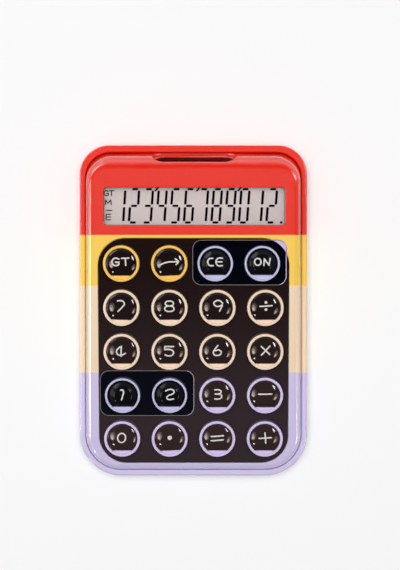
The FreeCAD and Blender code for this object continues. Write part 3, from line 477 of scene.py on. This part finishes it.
# A level rectangle with round corners.
def roundedOutline(bm, wide, long, corner, height=0.0, segments=8):
    where = Matrix.Translation((0, 0, height)) @ Matrix.Diagonal((wide, long, 1, 1))
    bmesh.ops.create_grid(bm, x_segments=1, y_segments=1, size=0.5, matrix=where)
    bmesh.ops.bevel(bm, geom=list(bm.verts), offset=corner, offset_type="OFFSET",
                    segments=segments, profile=0.5, affect="VERTICES", material=-1)
    return list(bm.faces)


# Thickens level faces upwards and returns the new vertices.
def extrudeUp(bm, faces, height):
    grown = bmesh.ops.extrude_face_region(bm, geom=faces)["geom"]
    tops = [g for g in grown if isinstance(g, bmesh.types.BMVert)]
    bmesh.ops.translate(bm, verts=tops, vec=(0, 0, height))
    return tops


# Adds one drawn shape to another, and frees it.
def addShape(bm, added):
    mesh = bpy.data.meshes.new("added")
    added.to_mesh(mesh)
    added.free()
    bm.from_mesh(mesh)
    bpy.data.meshes.remove(mesh)


# Turning shapes into pieces

# Places a shape drawn in millimetres, shades it and lets it ride on a body.
def shapePiece(name, bm, material, body, place, node=None, sharp=35):
    bmesh.ops.recalc_face_normals(bm, faces=bm.faces)
    mesh = bpy.data.meshes.new(name)
    bm.to_mesh(mesh)
    bm.free()
    mesh.transform(Matrix.Scale(millimetre, 4) @ place)
    return meshPiece(name, mesh, material, body, node, sharp)


def meshPiece(name, mesh, material, body, node=None, sharp=35):
    mesh.shade_smooth()
    mesh.set_sharp_from_angle(angle=math.radians(sharp))
    mesh.materials.clear()
    mesh.materials.append(material)
    piece = bpy.data.objects.new(name, mesh)
    scene.collection.objects.link(piece)
    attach(piece, body)
    if node:
        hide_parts(node)
    return piece


# A CAD node's own shape with its loose triangles joined and shaded smoothly.
def mergedCopy(node, name, material, body, sharp=30):
    bm = bmesh.new()
    bm.from_mesh(frame["nodes"][node].data)
    bmesh.ops.remove_doubles(bm, verts=bm.verts, dist=joinDistance)
    mesh = bpy.data.meshes.new(name)
    bm.to_mesh(mesh)
    bm.free()
    piece = meshPiece(name, mesh, material, body, node, sharp)
    weighted = piece.modifiers.new("weighted", "WEIGHTED_NORMAL")
    weighted.keep_sharp = True
    return piece


# Case: the floor of the solar cell's notch is matt, and the rest is glossy

# Reaches on the slope from the cell's middle, and off it
notch = {"side": 19.0, "up": 4.6, "down": 8.6, "near": 0.1}


def makeCase():
    upper = mergedCopy("top_shell", "upperCase", materials["case"], "case").data
    upper.materials.append(materials["notch"])
    toSlope = solarPlace(0).inverted()
    for polygon in upper.polygons:
        x, down, out = (v / millimetre for v in toSlope @ polygon.center)
        onSlope = abs(x) < notch["side"] and -notch["up"] < down < notch["down"]
        if onSlope and abs(out) < notch["near"]:
            polygon.material_index = 1
    mergedCopy("bottom_shell", "lowerCase", materials["case"], "case")
    mergedCopy("keypad_plate", "keypadPlate", materials["plate"], "case")
    mergedCopy("key_group_inlays", "keyPanels", materials["panel"], "case")


# Keys: each has a cup with a coloured rim and ledge, a dark dome and a white legend

keypad = {
    "firstX": -30.76,
    "firstY": 20.6,
    "pitchX": 20.56,
    "pitchY": 18.98,
    "names": [
        ["gt", "arrow", "ce", "on"],
        ["7", "8", "9", "divide"],
        ["4", "5", "6", "multiply"],
        ["1", "2", "3", "subtract"],
        ["0", "point", "equals", "add"],
    ],
    "colours": ["yellow", "cream", "cream", "lavender", "lavender"],
    "slim": ("ce", "on", "1", "2"),
    "turns": {"arrow": 2.6, "7": -2.0, "point": 2.5},
    "shifts": {"ce": -0.95, "on": -1.45, "1": 0.3},
}
cup = {
    "outer": 7.8, "foot": 7.9, "bore": 6.6, "top": 3.6, "floor": 1.6, "flange": 8.9,
    "flangeTop": -2.5, "flangeLow": -3.5, "stem": 2.0, "stemFoot": -4.25, "rimRound": 0.45,
    "ledgeTop": 3.0, "ledgeChord": 5.15, "ledgeOverlap": 0.02, "ledgeBevel": 0.18, "steps": 96,
}
slimCup = {**cup, "outer": 7.55, "foot": 7.65, "bore": 6.65, "rimRound": 0.3, "ledgeChord": 4.95}
# A crown is drawn as rings that shrink towards its middle: close rings over the rounded edge,
# in shares of the round, and then even ones.
dome = {
    "radius": 6.5, "chord": 5.0, "top": 5.06, "crown": 12.0, "round": 0.28, "roundDepth": 0.8,
    "floor": 1.6, "wall": 1.0, "ringRise": 0.1, "steps": 96, "rings": 9,
    "closeRings": (0.03, 0.1, 0.22, 0.4, 0.65, 1.0), "middle": 0.5, "sharp": 60,
}
# The slim keys' crowns are flat in the middle and tilt at (distance, degrees) towards the edge.
slimDome = {
    **dome, "radius": 6.1, "chord": 4.75, "rings": 16, "step": 6.6, "stepTop": 2.4, "top": 4.75,
    "tilts": ((0, 0), (3.3, 8), (4.0, 33), (6.2, 38)),
}


# A level disc cut along a chord: the side towards +Y, or the ledge towards -Y.
def cutRound(bm, radius, chord, steps, height, ledge=False):
    bmesh.ops.create_circle(bm, cap_ends=True, radius=radius, segments=steps,
                            matrix=Matrix.Translation((0, 0, height)))
    geom = list(bm.verts) + list(bm.edges) + list(bm.faces)
    bmesh.ops.bisect_plane(bm, geom=geom, dist=drawing["cut"], plane_co=(0, -chord, 0),
                           plane_no=(0, -1, 0), clear_outer=not ledge, clear_inner=ledge)
    return bm.faces[:]


def cupShape(size):
    bm = bmesh.new()
    points = [
        (0, size["stemFoot"]), (size["stem"], size["stemFoot"]), (size["stem"], size["flangeLow"]),
        (size["flange"], size["flangeLow"]), (size["flange"], size["flangeTop"]),
        (size["foot"], size["flangeTop"]), (size["outer"], size["top"]),
        (size["bore"], size["top"]), (size["bore"], size["floor"]), (0, size["floor"]),
    ]
    spinProfile(bm, points, size["steps"], ((6, size["rimRound"]), (7, size["rimRound"])))
    return bm


# The flat ledge in front of a dome, with a bevel along its straight upper edge.
def ledgeShape(size):
    bm = bmesh.new()
    radius, chord = size["bore"] + size["ledgeOverlap"], size["ledgeChord"]
    faces = cutRound(bm, radius, chord, size["steps"], size["floor"], ledge=True)
    tops = extrudeUp(bm, faces, size["ledgeTop"] - size["floor"])
    straight = [v for v in tops if v.co.y > -chord - drawing["cut"]]
    front = [e for e in bm.edges if all(v in straight for v in e.verts)]
    bmesh.ops.bevel(bm, geom=front, offset=size["ledgeBevel"], segments=3, profile=0.5,
                    affect="EDGES", material=-1)
    return bm


# How far a crown has fallen at a distance from its middle, from its tilt at some distances
def slopeDrop(tilts, away):
    drop = 0
    for (near, nearTilt), (far, farTilt) in zip(tilts, tilts[1:]):
        reach = min(away, far) - near
        if reach > 0:
            halfway = nearTilt + (farTilt - nearTilt) * reach / (far - near) / 2
            drop += reach * math.tan(math.radians(halfway))
    return drop


# Height of the dome's surface: a sphere, or a flat crown with a cone, whose edge rolls over
def crownHeight(size, x, y):
    away = math.hypot(x, y)
    if "tilts" in size:
        drop = slopeDrop(size["tilts"], away)
    else:
        drop = size["crown"] - math.sqrt(size["crown"] ** 2 - away * away)
    inside = min(size["radius"] - away, y + size["chord"])
    gap = min(max(size["round"] - inside, 0) / size["round"], 1)
    rolled = size["round"] * (1 - math.sqrt(1 - gap * gap)) * size["roundDepth"]
    return size["top"] - drop - rolled


def domeShape(size):
    bm = bmesh.new()
    cutRound(bm, size["radius"], size["chord"], size["steps"], size["floor"])
    shares = [1 - share * size["round"] / size["radius"] for share in size["closeRings"]]
    rings = size["rings"] + 1
    shares += [shares[-1] * (1 - ring / rings) for ring in range(1, rings)]
    crown = bm.faces[:]
    reached = 1
    for share in [1] + shares:
        grown = bmesh.ops.extrude_face_region(bm, geom=crown)["geom"]
        if share < 1:
            bmesh.ops.delete(bm, geom=crown, context="FACES_ONLY")
        crown = [g for g in grown if isinstance(g, bmesh.types.BMFace)]
        ring = [g for g in grown if isinstance(g, bmesh.types.BMVert)]
        rise = size["ringRise"] if share < 1 else size["wall"]
        bmesh.ops.translate(bm, verts=ring, vec=(0, 0, rise))
        middle = Matrix.Translation((0, -size["middle"], 0))
        bmesh.ops.scale(bm, verts=ring, vec=(share / reached, share / reached, 1), space=middle)
        reached = share
    for vert in bm.verts:
        if vert.co.z > size["floor"] + size["wall"] / 2:
            vert.co.z = crownHeight(size, vert.co.x, vert.co.y)
    bmesh.ops.poke(bm, faces=crown)
    if "step" in size:
        addStep(bm, size)
    return bm


# The low step that shows round a slim key's dome.
def addStep(bm, size):
    step = bmesh.new()
    faces = cutRound(step, size["step"], size["chord"], size["steps"], size["floor"])
    extrudeUp(step, faces, size["stepTop"] - size["floor"])
    addShape(bm, step)


# Legends: strokes in millimetres from the key's middle, which are straight lines, curves,
# closed loops or dots

ink = {"radius": 0.3, "flat": 0.1, "lift": 0.012, "up": 0.38}
legends = {
    "gt": [
        ("curve", [(-0.75, 1.65), (-2.1, 2.1), (-3.6, 1.2), (-3.65, -0.2), (-2.2, -1.15),
                   (-0.9, -0.7)]),
        ("line", [(-2.2, 0.35), (-0.75, 0.35), (-0.85, -0.7)]),
        ("line", [(0.35, 2.0), (3.4, 2.1)]),
        ("line", [(1.9, 2.05), (2.1, -1.0)]),
    ],
    "arrow": [
        ("curve", [(-3.9, -0.7), (-2.2, 0.05), (0.0, 0.45), (2.0, 0.42), (3.9, 0.3)]),
        ("curve", [(2.7, 1.7), (3.35, 1.1), (3.95, 0.35), (3.5, -0.3), (2.9, -0.8)]),
    ],
    "ce": [
        ("curve", [(-1.05, 2.0), (-2.6, 1.75), (-3.2, 0.45), (-2.4, -1.0), (-0.9, -1.15)]),
        ("curve", [(3.0, 2.05), (1.2, 2.0), (0.25, 0.45), (1.2, -1.1), (3.0, -1.1)]),
        ("line", [(0.35, 0.5), (2.8, 0.5)]),
    ],
    "on": [
        ("loop", [(-2.0, 1.95), (-3.35, 0.45), (-2.0, -1.0), (-0.6, 0.45)]),
        ("line", [(0.6, -1.05), (0.75, 1.85), (2.75, -0.95), (3.3, 1.95)]),
    ],
    "7": [("curve", [(-1.6, 2.75), (0.1, 2.85), (1.35, 1.75), (0.4, 0.1), (-1.3, -1.75)])],
    "8": [
        ("loop", [(0.05, 2.75), (-1.7, 1.7), (0.05, 0.65), (1.8, 1.7)]),
        ("loop", [(0.05, 0.65), (-1.95, -0.55), (0.05, -1.75), (2.05, -0.55)]),
    ],
    "9": [
        ("curve", [(2.2, 1.75), (1.0, 2.85), (-0.55, 2.85), (-1.55, 1.75), (-0.7, 0.65),
                   (1.0, 0.6), (2.1, 1.15)]),
        ("line", [(2.05, 0.8), (0.9, -1.55)]),
    ],
    "divide": [
        ("line", [(-2.45, 0.45), (2.7, 0.75)]),
        ("dot", [(0.1, 2.15)]),
        ("dot", [(0.1, -0.9)]),
    ],
    "4": [
        ("curve", [(-0.6, 2.0), (-2.0, 0.4), (-1.6, -1.15), (0.1, -1.5), (1.75, -0.75)]),
        ("line", [(0.0, 2.3), (-0.15, -1.95)]),
    ],
    "5": [
        ("line", [(1.8, 2.15), (-1.9, 2.2), (-2.05, 0.85)]),
        ("curve", [(-2.05, 0.85), (-0.2, 1.0), (1.65, 0.1), (1.4, -1.35), (-0.2, -1.85),
                   (-1.85, -1.4)]),
    ],
    "6": [
        ("curve", [(0.2, 2.6), (-1.2, 0.9), (-1.75, -0.45), (-1.2, -1.45), (-0.05, -1.65),
                   (1.25, -1.2), (1.6, -0.2), (0.75, 0.7), (-1.0, 0.4)]),
    ],
    "multiply": [
        ("line", [(-1.8, 2.2), (1.8, -1.2)]),
        ("line", [(1.9, 2.35), (-1.75, -1.5)]),
    ],
    "1": [("curve", [(-0.75, 2.25), (0.1, 2.3), (0.5, 1.6), (0.15, -0.3), (-0.35, -1.95)])],
    "2": [
        ("curve", [(-1.6, 1.9), (-0.5, 2.45), (1.25, 2.45), (2.0, 1.5), (1.25, 0.6),
                   (-0.55, -0.15), (-1.15, -1.1), (-0.5, -1.75), (1.75, -1.5)]),
    ],
    "3": [
        ("curve", [(-1.1, 2.4), (0.6, 2.4), (1.6, 1.6), (0.7, 0.7), (-0.9, 0.65)]),
        ("curve", [(0.4, 0.68), (1.65, 0.2), (1.75, -0.8), (0.8, -1.5), (-1.1, -1.45)]),
    ],
    "subtract": [("line", [(-2.85, 0.5), (2.85, 0.6)])],
    "0": [("loop", [(0.35, 2.4), (-1.75, 0.95), (-0.55, -1.45), (1.55, 0.0)])],
    "point": [("dot", [(0.1, 0.55)])],
    "equals": [
        ("line", [(-2.6, 1.05), (2.6, 1.4)]),
        ("line", [(-2.65, -0.8), (2.6, -0.35)]),
    ],
    "add": [
        ("line", [(-2.55, 0.25), (2.75, 0.6)]),
        ("line", [(-0.05, 2.6), (0.3, -1.75)]),
    ],
}
dotSize = {"point": 0.95, "divide": 0.62}


# Round strokes with round ends, as one shape lying on the level.
def strokeShape(strokes, radius, dotRadius=0):
    curve = bpy.data.curves.new("strokes", "CURVE")
    curve.dimensions = "3D"
    curve.bevel_depth = radius
    curve.bevel_resolution = 2
    curve.resolution_u = 5
    curve.use_fill_caps = True
    balls = []
    for kind, points in strokes:
        if kind == "dot":
            balls.append((points[0], dotRadius))
            continue
        spline = curve.splines.new("BEZIER")
        spline.bezier_points.add(len(points) - 1)
        for index, (x, y) in enumerate(points):
            point = spline.bezier_points[index]
            point.co = (x, y, 0)
            point.handle_left_type = point.handle_right_type = "AUTO"
            if kind == "line":
                before = Vector(points[max(index - 1, 0)])
                after = Vector(points[min(index + 1, len(points) - 1)])
                point.handle_left_type = point.handle_right_type = "FREE"
                point.handle_left = Vector((x, y)).lerp(before, 1 / 3).to_3d()
                point.handle_right = Vector((x, y)).lerp(after, 1 / 3).to_3d()
        spline.use_cyclic_u = kind == "loop"
        if kind == "curve":
            balls += [(points[0], radius), (points[-1], radius)]
        if kind == "line":
            balls += [(point, radius) for point in points]
    holder = bpy.data.objects.new("strokes", curve)
    scene.collection.objects.link(holder)
    bpy.context.view_layer.update()
    mesh = bpy.data.meshes.new_from_object(holder)
    bm = bmesh.new()
    bm.from_mesh(mesh)
    for (x, y), size in balls:
        bmesh.ops.create_icosphere(bm, subdivisions=2, radius=size,
                                   matrix=Matrix.Translation((x, y, 0)))
    bpy.data.objects.remove(holder)
    bpy.data.curves.remove(curve)
    bpy.data.meshes.remove(mesh)
    return bm


# A key's legend, pressed flat and laid over the crown of its dome.
def legendShape(name, size):
    bm = strokeShape(legends[name], ink["radius"], dotSize.get(name, 0))
    for vert in bm.verts:
        x, y, z = vert.co
        y += ink["up"]
        vert.co.yz = y, crownHeight(size, x, y) + ink["lift"] + z * ink["flat"]
    return bm


# Each key's row, its name and its place on the face.
def keyPlaces():
    for row, names in enumerate(keypad["names"]):
        for column, name in enumerate(names):
            x = keypad["firstX"] + column * keypad["pitchX"] + keypad["shifts"].get(name, 0)
            y = keypad["firstY"] - row * keypad["pitchY"]
            yield row, name, onFace(x, y, turn=keypad["turns"].get(name, 0))


def makeKeys():
    for row, name, place in keyPlaces():
        slim = name in keypad["slim"]
        colour = "lilac" if slim else keypad["colours"][row]
        cupSize, domeSize = (slimCup, slimDome) if slim else (cup, dome)
        body = f"key_{name}"
        rim = shapePiece(f"{body}_rim", cupShape(cupSize), materials[colour], body, place,
                         f"{body}_cup").data
        rim.materials.append(materials[f"{colour}Wall"])
        toKey = place.inverted()
        # Faces of the outer wall below the rim take the darker twin, which is painted shade.
        wallTop = cupSize["top"] - cupSize["rimRound"]
        for polygon in rim.polygons:
            x, y, out = toKey @ (polygon.center / millimetre)
            if math.hypot(x, y) > cupSize["outer"] and out < wallTop:
                polygon.material_index = 1
        shapePiece(f"{body}_ledge", ledgeShape(cupSize), materials[colour], body, place)
        shapePiece(f"{body}_crown", domeShape(domeSize), materials["slimDome" if slim else "dome"],
                   body, place, f"{body}_dome", domeSize["sharp"])
        shapePiece(f"{body}_legend", legendShape(name, domeSize), materials["ink"], body, place)


# Key panels: a pale line along their edge, a painted highlight standing in for light caught by the
# edge, and a lavender corner outside the keypad plate

panels = {
    "corner": 4.0, "top": 0.35, "inset": 0.12, "line": 0.3, "high": 0.03, "brightFrom": 17.4,
    "rear": {"x": 19.85, "y": 20.94, "wide": 40.7, "long": 19.8},
    "front": {"x": -20.05, "y": -35.8, "wide": 41.1, "long": 20.2},
    "plateCorner": (29.3, 19.4), "plateRadius": 12.05, "cornerSteps": 16,
}


# The line round a panel, a painted highlight: its part to the left (side -1) or right (side 1) of
# brightFrom.
def panelLineShape(end, side):
    bm = bmesh.new()
    wide, long = (panels[end][size] - 2 * panels["inset"] for size in ("wide", "long"))
    faces = roundedOutline(bm, wide, long, panels["corner"] - panels["inset"], panels["top"])
    bmesh.ops.inset_individual(bm, faces=faces, thickness=panels["line"], use_even_offset=True)
    inner = [f for f in bm.faces if len(f.verts) > 4]
    bmesh.ops.delete(bm, geom=inner, context="FACES")
    bmesh.ops.bisect_plane(bm, geom=bm.verts[:] + bm.edges[:] + bm.faces[:], clear_inner=True,
                           plane_co=(panels["brightFrom"], 0, 0), plane_no=(side, 0, 0))
    extrudeUp(bm, bm.faces[:], panels["high"])
    return bm


def addArc(bm, centre, radius, start, turn, steps):
    begin, (x, y) = math.radians(start), centre
    vert = bm.verts.new((x + radius * math.cos(begin), y + radius * math.sin(begin), 0))
    bmesh.ops.spin(bm, geom=[vert], cent=(x, y, 0), axis=(0, 0, 1), dvec=(0, 0, 0),
                   angle=math.radians(turn), steps=steps)


# The part of the rear panel that lies outside the plate's round corner.
def panelCornerShape():
    bm = bmesh.new()
    panel = panels["rear"]
    right, rear = panel["x"] + panel["wide"] / 2, panel["y"] + panel["long"] / 2
    plateX, plateY = panels["plateCorner"]
    radius, steps = panels["plateRadius"], panels["cornerSteps"]
    start = math.degrees(math.acos((right - plateX) / radius))
    end = math.degrees(math.asin((rear - plateY) / radius))
    addArc(bm, panels["plateCorner"], radius, start, end - start, steps)
    addArc(bm, (right - panels["corner"], rear - panels["corner"]), panels["corner"], 0, 90, steps)
    bmesh.ops.bridge_loops(bm, edges=bm.edges[:])
    bmesh.ops.translate(bm, verts=bm.verts, vec=(0, 0, panels["top"]))
    extrudeUp(bm, bm.faces[:], panels["high"])
    return bm


def makePanels():
    # Each edge line is a painted highlight: dim on the left, brighter on the right, and
    # lavender-tinted on the rear panel's right.
    lines = (("front", -1, "panelEdgeHighlight"), ("front", 1, "panelBrightHighlight"),
             ("rear", -1, "panelEdgeHighlight"), ("rear", 1, "panelCorner"))
    for end, side, material in lines:
        name = f"{end}Panel{'Left' if side < 0 else 'Right'}Line"
        shapePiece(name, panelLineShape(end, side), materials[material], "case",
                   onFace(panels[end]["x"], panels[end]["y"]))
    shapePiece("rearPanelCorner", panelCornerShape(), materials["panelCorner"], "case", onFace())


# Display: clear glass over a pale ground, with the dark segments between them

display = {
    "along": 44.95, "wide": 82.0, "long": 21.5, "ledge": 2.7, "bevel": 0.12,
    "front": -3.2, "rear": -3.45, "back": -5.2, "inkHigh": 0.03,
}
# A digit's place is the middle of its right side. Its segments go by the usual letters.
digits = {
    "shown": "123456789012", "rightX": -29.76, "pitch": 5.94, "middle": 45.2, "apart": 3.45,
    "half": 3.58, "upright": (1.1, 6.0), "level": (2.5, 1.0), "lean": 4.3, "corner": 0.24,
    "segments": {
        "1": "bc", "2": "abged", "3": "abgcd", "4": "fgbc", "5": "afgcd", "6": "afgecd",
        "7": "abc", "8": "abcdefg", "9": "afbgcd", "0": "afbecd",
    },
    "commas": (-15.63, 2.19, 20.01), "commaAlong": 52.45, "commaSize": (1.05, 2.0),
    "commaLean": 38, "pointAt": (37.96, 38.07), "pointRadius": 0.55, "pointSteps": 20,
}
signs = {
    "radius": 0.25,
    "strokes": [
        ("curve", [(-36.65, 51.3), (-37.5, 51.75), (-38.45, 50.7), (-37.5, 49.6),
                   (-36.65, 49.95)]),
        ("line", [(-37.3, 50.55), (-36.6, 50.55), (-36.6, 49.8)]),
        ("line", [(-36.15, 51.7), (-34.2, 51.7)]),
        ("line", [(-35.2, 51.7), (-35.3, 49.6)]),
        ("line", [(-37.95, 45.75), (-37.8, 47.75), (-36.75, 46.3), (-35.6, 47.75),
                  (-35.35, 45.75)]),
        ("line", [(-37.45, 43.25), (-35.15, 43.25)]),
        ("line", [(-35.65, 41.55), (-37.6, 41.55), (-37.7, 39.2), (-35.7, 39.2)]),
        ("line", [(-37.6, 40.4), (-35.75, 40.4)]),
    ],
}


# A bevelled slab between two levels, shifted along the face.
def glassShape(long, low, high, shift=0):
    bm = bmesh.new()
    size = Matrix.Diagonal((display["wide"], long, high - low, 1))
    where = Matrix.Translation((0, display["along"] + shift, (low + high) / 2))
    bmesh.ops.create_cube(bm, size=1, matrix=where @ size)
    bmesh.ops.bevel(bm, geom=bm.edges[:], offset=display["bevel"], segments=2, profile=0.5,
                    affect="EDGES", material=-1)
    return bm


# A flat bar with round corners, lying on the level.
def addBar(bm, size, where, corner):
    bar = bmesh.new()
    faces = roundedOutline(bar, *size, corner, segments=3)
    extrudeUp(bar, faces, display["inkHigh"])
    bmesh.ops.transform(bar, matrix=where, verts=bar.verts)
    addShape(bm, bar)


# A place whose uprights lean to the right.
def leaning(x, y, degrees=0):
    lean = Matrix.Identity(4)
    lean[0][1] = math.tan(math.radians(degrees))
    return Matrix.Translation((x, y, 0)) @ lean


# The dark segments of the twelve digits, the marks between them and the point.
def digitShape():
    bm = bmesh.new()
    left, half = -digits["apart"], digits["half"]
    centre = left / 2
    spots = {
        "a": (centre, 2 * half, "level"),
        "g": (centre, 0, "level"),
        "d": (centre, -2 * half, "level"),
        "b": (0, half, "upright"),
        "c": (0, -half, "upright"),
        "f": (left, half, "upright"),
        "e": (left, -half, "upright"),
    }
    for index, digit in enumerate(digits["shown"]):
        right = digits["rightX"] + index * digits["pitch"]
        place = leaning(right, digits["middle"], digits["lean"])
        for letter in digits["segments"][digit]:
            x, y, kind = spots[letter]
            addBar(bm, digits[kind], place @ Matrix.Translation((x, y, 0)), digits["corner"])
    for x in digits["commas"]:
        place = leaning(x, digits["commaAlong"], digits["commaLean"])
        addBar(bm, digits["commaSize"], place, digits["corner"])
    disc = bmesh.ops.create_circle(bm, cap_ends=True, radius=digits["pointRadius"],
                                   segments=digits["pointSteps"],
                                   matrix=Matrix.Translation((*digits["pointAt"], 0)))
    extrudeUp(bm, list({f for v in disc["verts"] for f in v.link_faces}), display["inkHigh"])
    return bm


def makeDisplay():
    mergedCopy("display_window", "displayWindow", materials["window"], "case")
    ledge, inkHigh, rear = display["ledge"], display["inkHigh"], display["rear"]
    glass = glassShape(display["long"], rear, display["front"])
    shapePiece("displayGlass", glass, materials["glass"], "case", onFace(), "lcd_panel")
    ground = glassShape(display["long"] - ledge, display["back"], rear - 2 * inkHigh, ledge / 2)
    shapePiece("displayGround", ground, materials["lcdGround"], "case", onFace())
    inkPlace = onFace(out=rear - 1.5 * inkHigh)
    shapePiece("displayDigits", digitShape(), materials["lcdInk"], "case", inkPlace)
    letters = strokeShape(signs["strokes"], signs["radius"])
    flat = Matrix.Diagonal((1, 1, inkHigh / signs["radius"] / 2, 1))
    shapePiece("displaySigns", letters, materials["lcdFaintInk"], "case", inkPlace @ flat)
    mergedCopy("lcd_holder", "displayHolder", materials["holder"], "case")
    mergedCopy("lcd_ribbon", "displayRibbon", materials["ribbon"], "case")


# Solar cell: a dark cover over brown cells with fine metal lines

solar = {
    "across": 0.5, "along": 65.44, "height": 16.62, "lean": 21.0, "wall": 2.3, "wide": 33.4,
    "long": 7.9, "cells": 4, "gap": 0.35, "gapEnds": 0.6, "finger": 0.14, "fingers": 5,
    "fingerEnds": 0.8, "fingerMargins": 1.4, "corner": 0.05,
}


# A place on the rear slope, in the middle of the solar cell's window.
def solarPlace(out):
    turned = Matrix.Rotation(math.radians(solar["lean"] - 90), 4, "X")
    middle = Matrix.Translation((solar["across"], solar["along"], solar["height"]))
    return middle @ turned @ Matrix.Translation((0, 0, out))


# The gaps between the four cells and the fingers on them, as thin metal lines.
def cellLineShape():
    bm = bmesh.new()
    cellWide = solar["wide"] / solar["cells"]
    gapSize = (solar["gap"], solar["long"] - solar["gapEnds"])
    for index in range(1, solar["cells"]):
        x = -solar["wide"] / 2 + index * cellWide
        addBar(bm, gapSize, leaning(x, 0), solar["corner"])
    spaces = solar["fingers"] - 1
    fingerSize = (solar["wide"] - solar["fingerEnds"], solar["finger"])
    for index in range(solar["fingers"]):
        y = (index - spaces / 2) * (solar["long"] - solar["fingerMargins"]) / spaces
        addBar(bm, fingerSize, leaning(0, y), solar["corner"])
    return bm


def makeSolar():
    mergedCopy("solar_window", "solarCover", materials["solarCover"], "case")
    mergedCopy("solar_cell", "solarCell", materials["silicon"], "case")
    shapePiece("solarLines", cellLineShape(), materials["cellLine"], "case",
               solarPlace(-solar["wall"]))


# Rubber sheet: a flat sheet with a bubble under each key, which on the real sheet gives way as the
# key goes down; here each bubble keeps its rest shape

sheet = {"cut": -6.15, "cutNear": 1e-7, "reach": 6.6}
bubble = {
    "foot": -6.2, "top": -4.3, "base": 5.4, "crown": 3.0, "hollowBase": 3.92, "hollowTop": 2.3,
    "roof": -5.1, "pill": 1.8, "pillFoot": -5.6, "steps": 32, "keep": 0.34,
}


# The flat sheet, cut off just above its top, with the cut closed under each bubble.
def sheetMesh():
    bm = bmesh.new()
    bm.from_mesh(frame["nodes"]["key_membrane"].data)
    bmesh.ops.remove_doubles(bm, verts=bm.verts, dist=joinDistance)
    level = (facePlace @ Vector((0, 0, sheet["cut"]))) * millimetre
    bmesh.ops.bisect_plane(bm, geom=bm.verts[:] + bm.edges[:] + bm.faces[:],
                           dist=sheet["cutNear"], plane_co=level, plane_no=outward,
                           clear_outer=True)
    reach = sheet["reach"] * millimetre
    for _, _, place in keyPlaces():
        middle = (place @ Vector((0, 0, sheet["cut"]))) * millimetre
        near = [e for e in bm.edges if e.is_boundary and (e.verts[0].co - middle).length < reach]
        bmesh.ops.bridge_loops(bm, edges=near)
    mesh = bpy.data.meshes.new("rubberSheet")
    bm.to_mesh(mesh)
    bm.free()
    return mesh


def bubbleShape():
    bm = bmesh.new()
    points = [
        (0, bubble["top"]), (bubble["crown"], bubble["top"]), (bubble["base"], bubble["foot"]),
        (bubble["hollowBase"], bubble["foot"]), (bubble["hollowTop"], bubble["roof"]),
        (bubble["pill"], bubble["roof"]), (bubble["pill"], bubble["pillFoot"]),
        (0, bubble["pillFoot"]),
    ]
    spinProfile(bm, points, bubble["steps"])
    return bm


def makeSheet():
    meshPiece("rubberSheet", sheetMesh(), materials["rubber"], "case", "key_membrane")
    for _, name, place in keyPlaces():
        piece = shapePiece(f"bubble_{name}", bubbleShape(), materials["rubber"], "case", place)
        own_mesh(piece)


# Inside and underside

pads = {"level": -7.0, "radius": 2.3, "steps": 24, "high": 0.03}


# A round carbon contact under each key.
def padShape():
    bm = bmesh.new()
    for _, _, place in keyPlaces():
        spot = facePlace.inverted() @ place @ Matrix.Translation((0, 0, pads["level"]))
        bmesh.ops.create_circle(bm, cap_ends=True, radius=pads["radius"],
                                segments=pads["steps"], matrix=spot)
    extrudeUp(bm, bm.faces[:], pads["high"])
    return bm


def makeInside():
    mergedCopy("main_board", "circuitBoard", materials["board"], "case")
    shapePiece("boardPads", padShape(), materials["carbon"], "case", onFace())
    mergedCopy("chip_blob", "chipBlob", materials["chip"], "case", sharp=40)
    mergedCopy("lead_wires", "leads", materials["lead"], "case", sharp=50)
    mergedCopy("button_cell", "buttonCell", materials["steel"], "case")
    mergedCopy("battery_spring", "springContact", materials["contact"], "case")
    mergedCopy("battery_clip", "sideContact", materials["contact"], "case")
    mergedCopy("battery_door", "batteryDoor", materials["case"], "door")
    mergedCopy("case_screws", "caseScrews", materials["screw"], "case")
    mergedCopy("rubber_feet", "rubberFeet", materials["footRubber"], "case")


makeCamera()
makeWorld()
makeFloor()
for lampName, lampSize in lamps.items():
    makeLamp(lampName, lampSize)
print("camera, floor and lamps ready")
makeCase()
print("case ready")
makeKeys()
print("keys ready")
makePanels()
makeDisplay()
makeSolar()
print("panels, display and solar cell ready")
makeSheet()
makeInside()
print("inner pieces and underside ready")
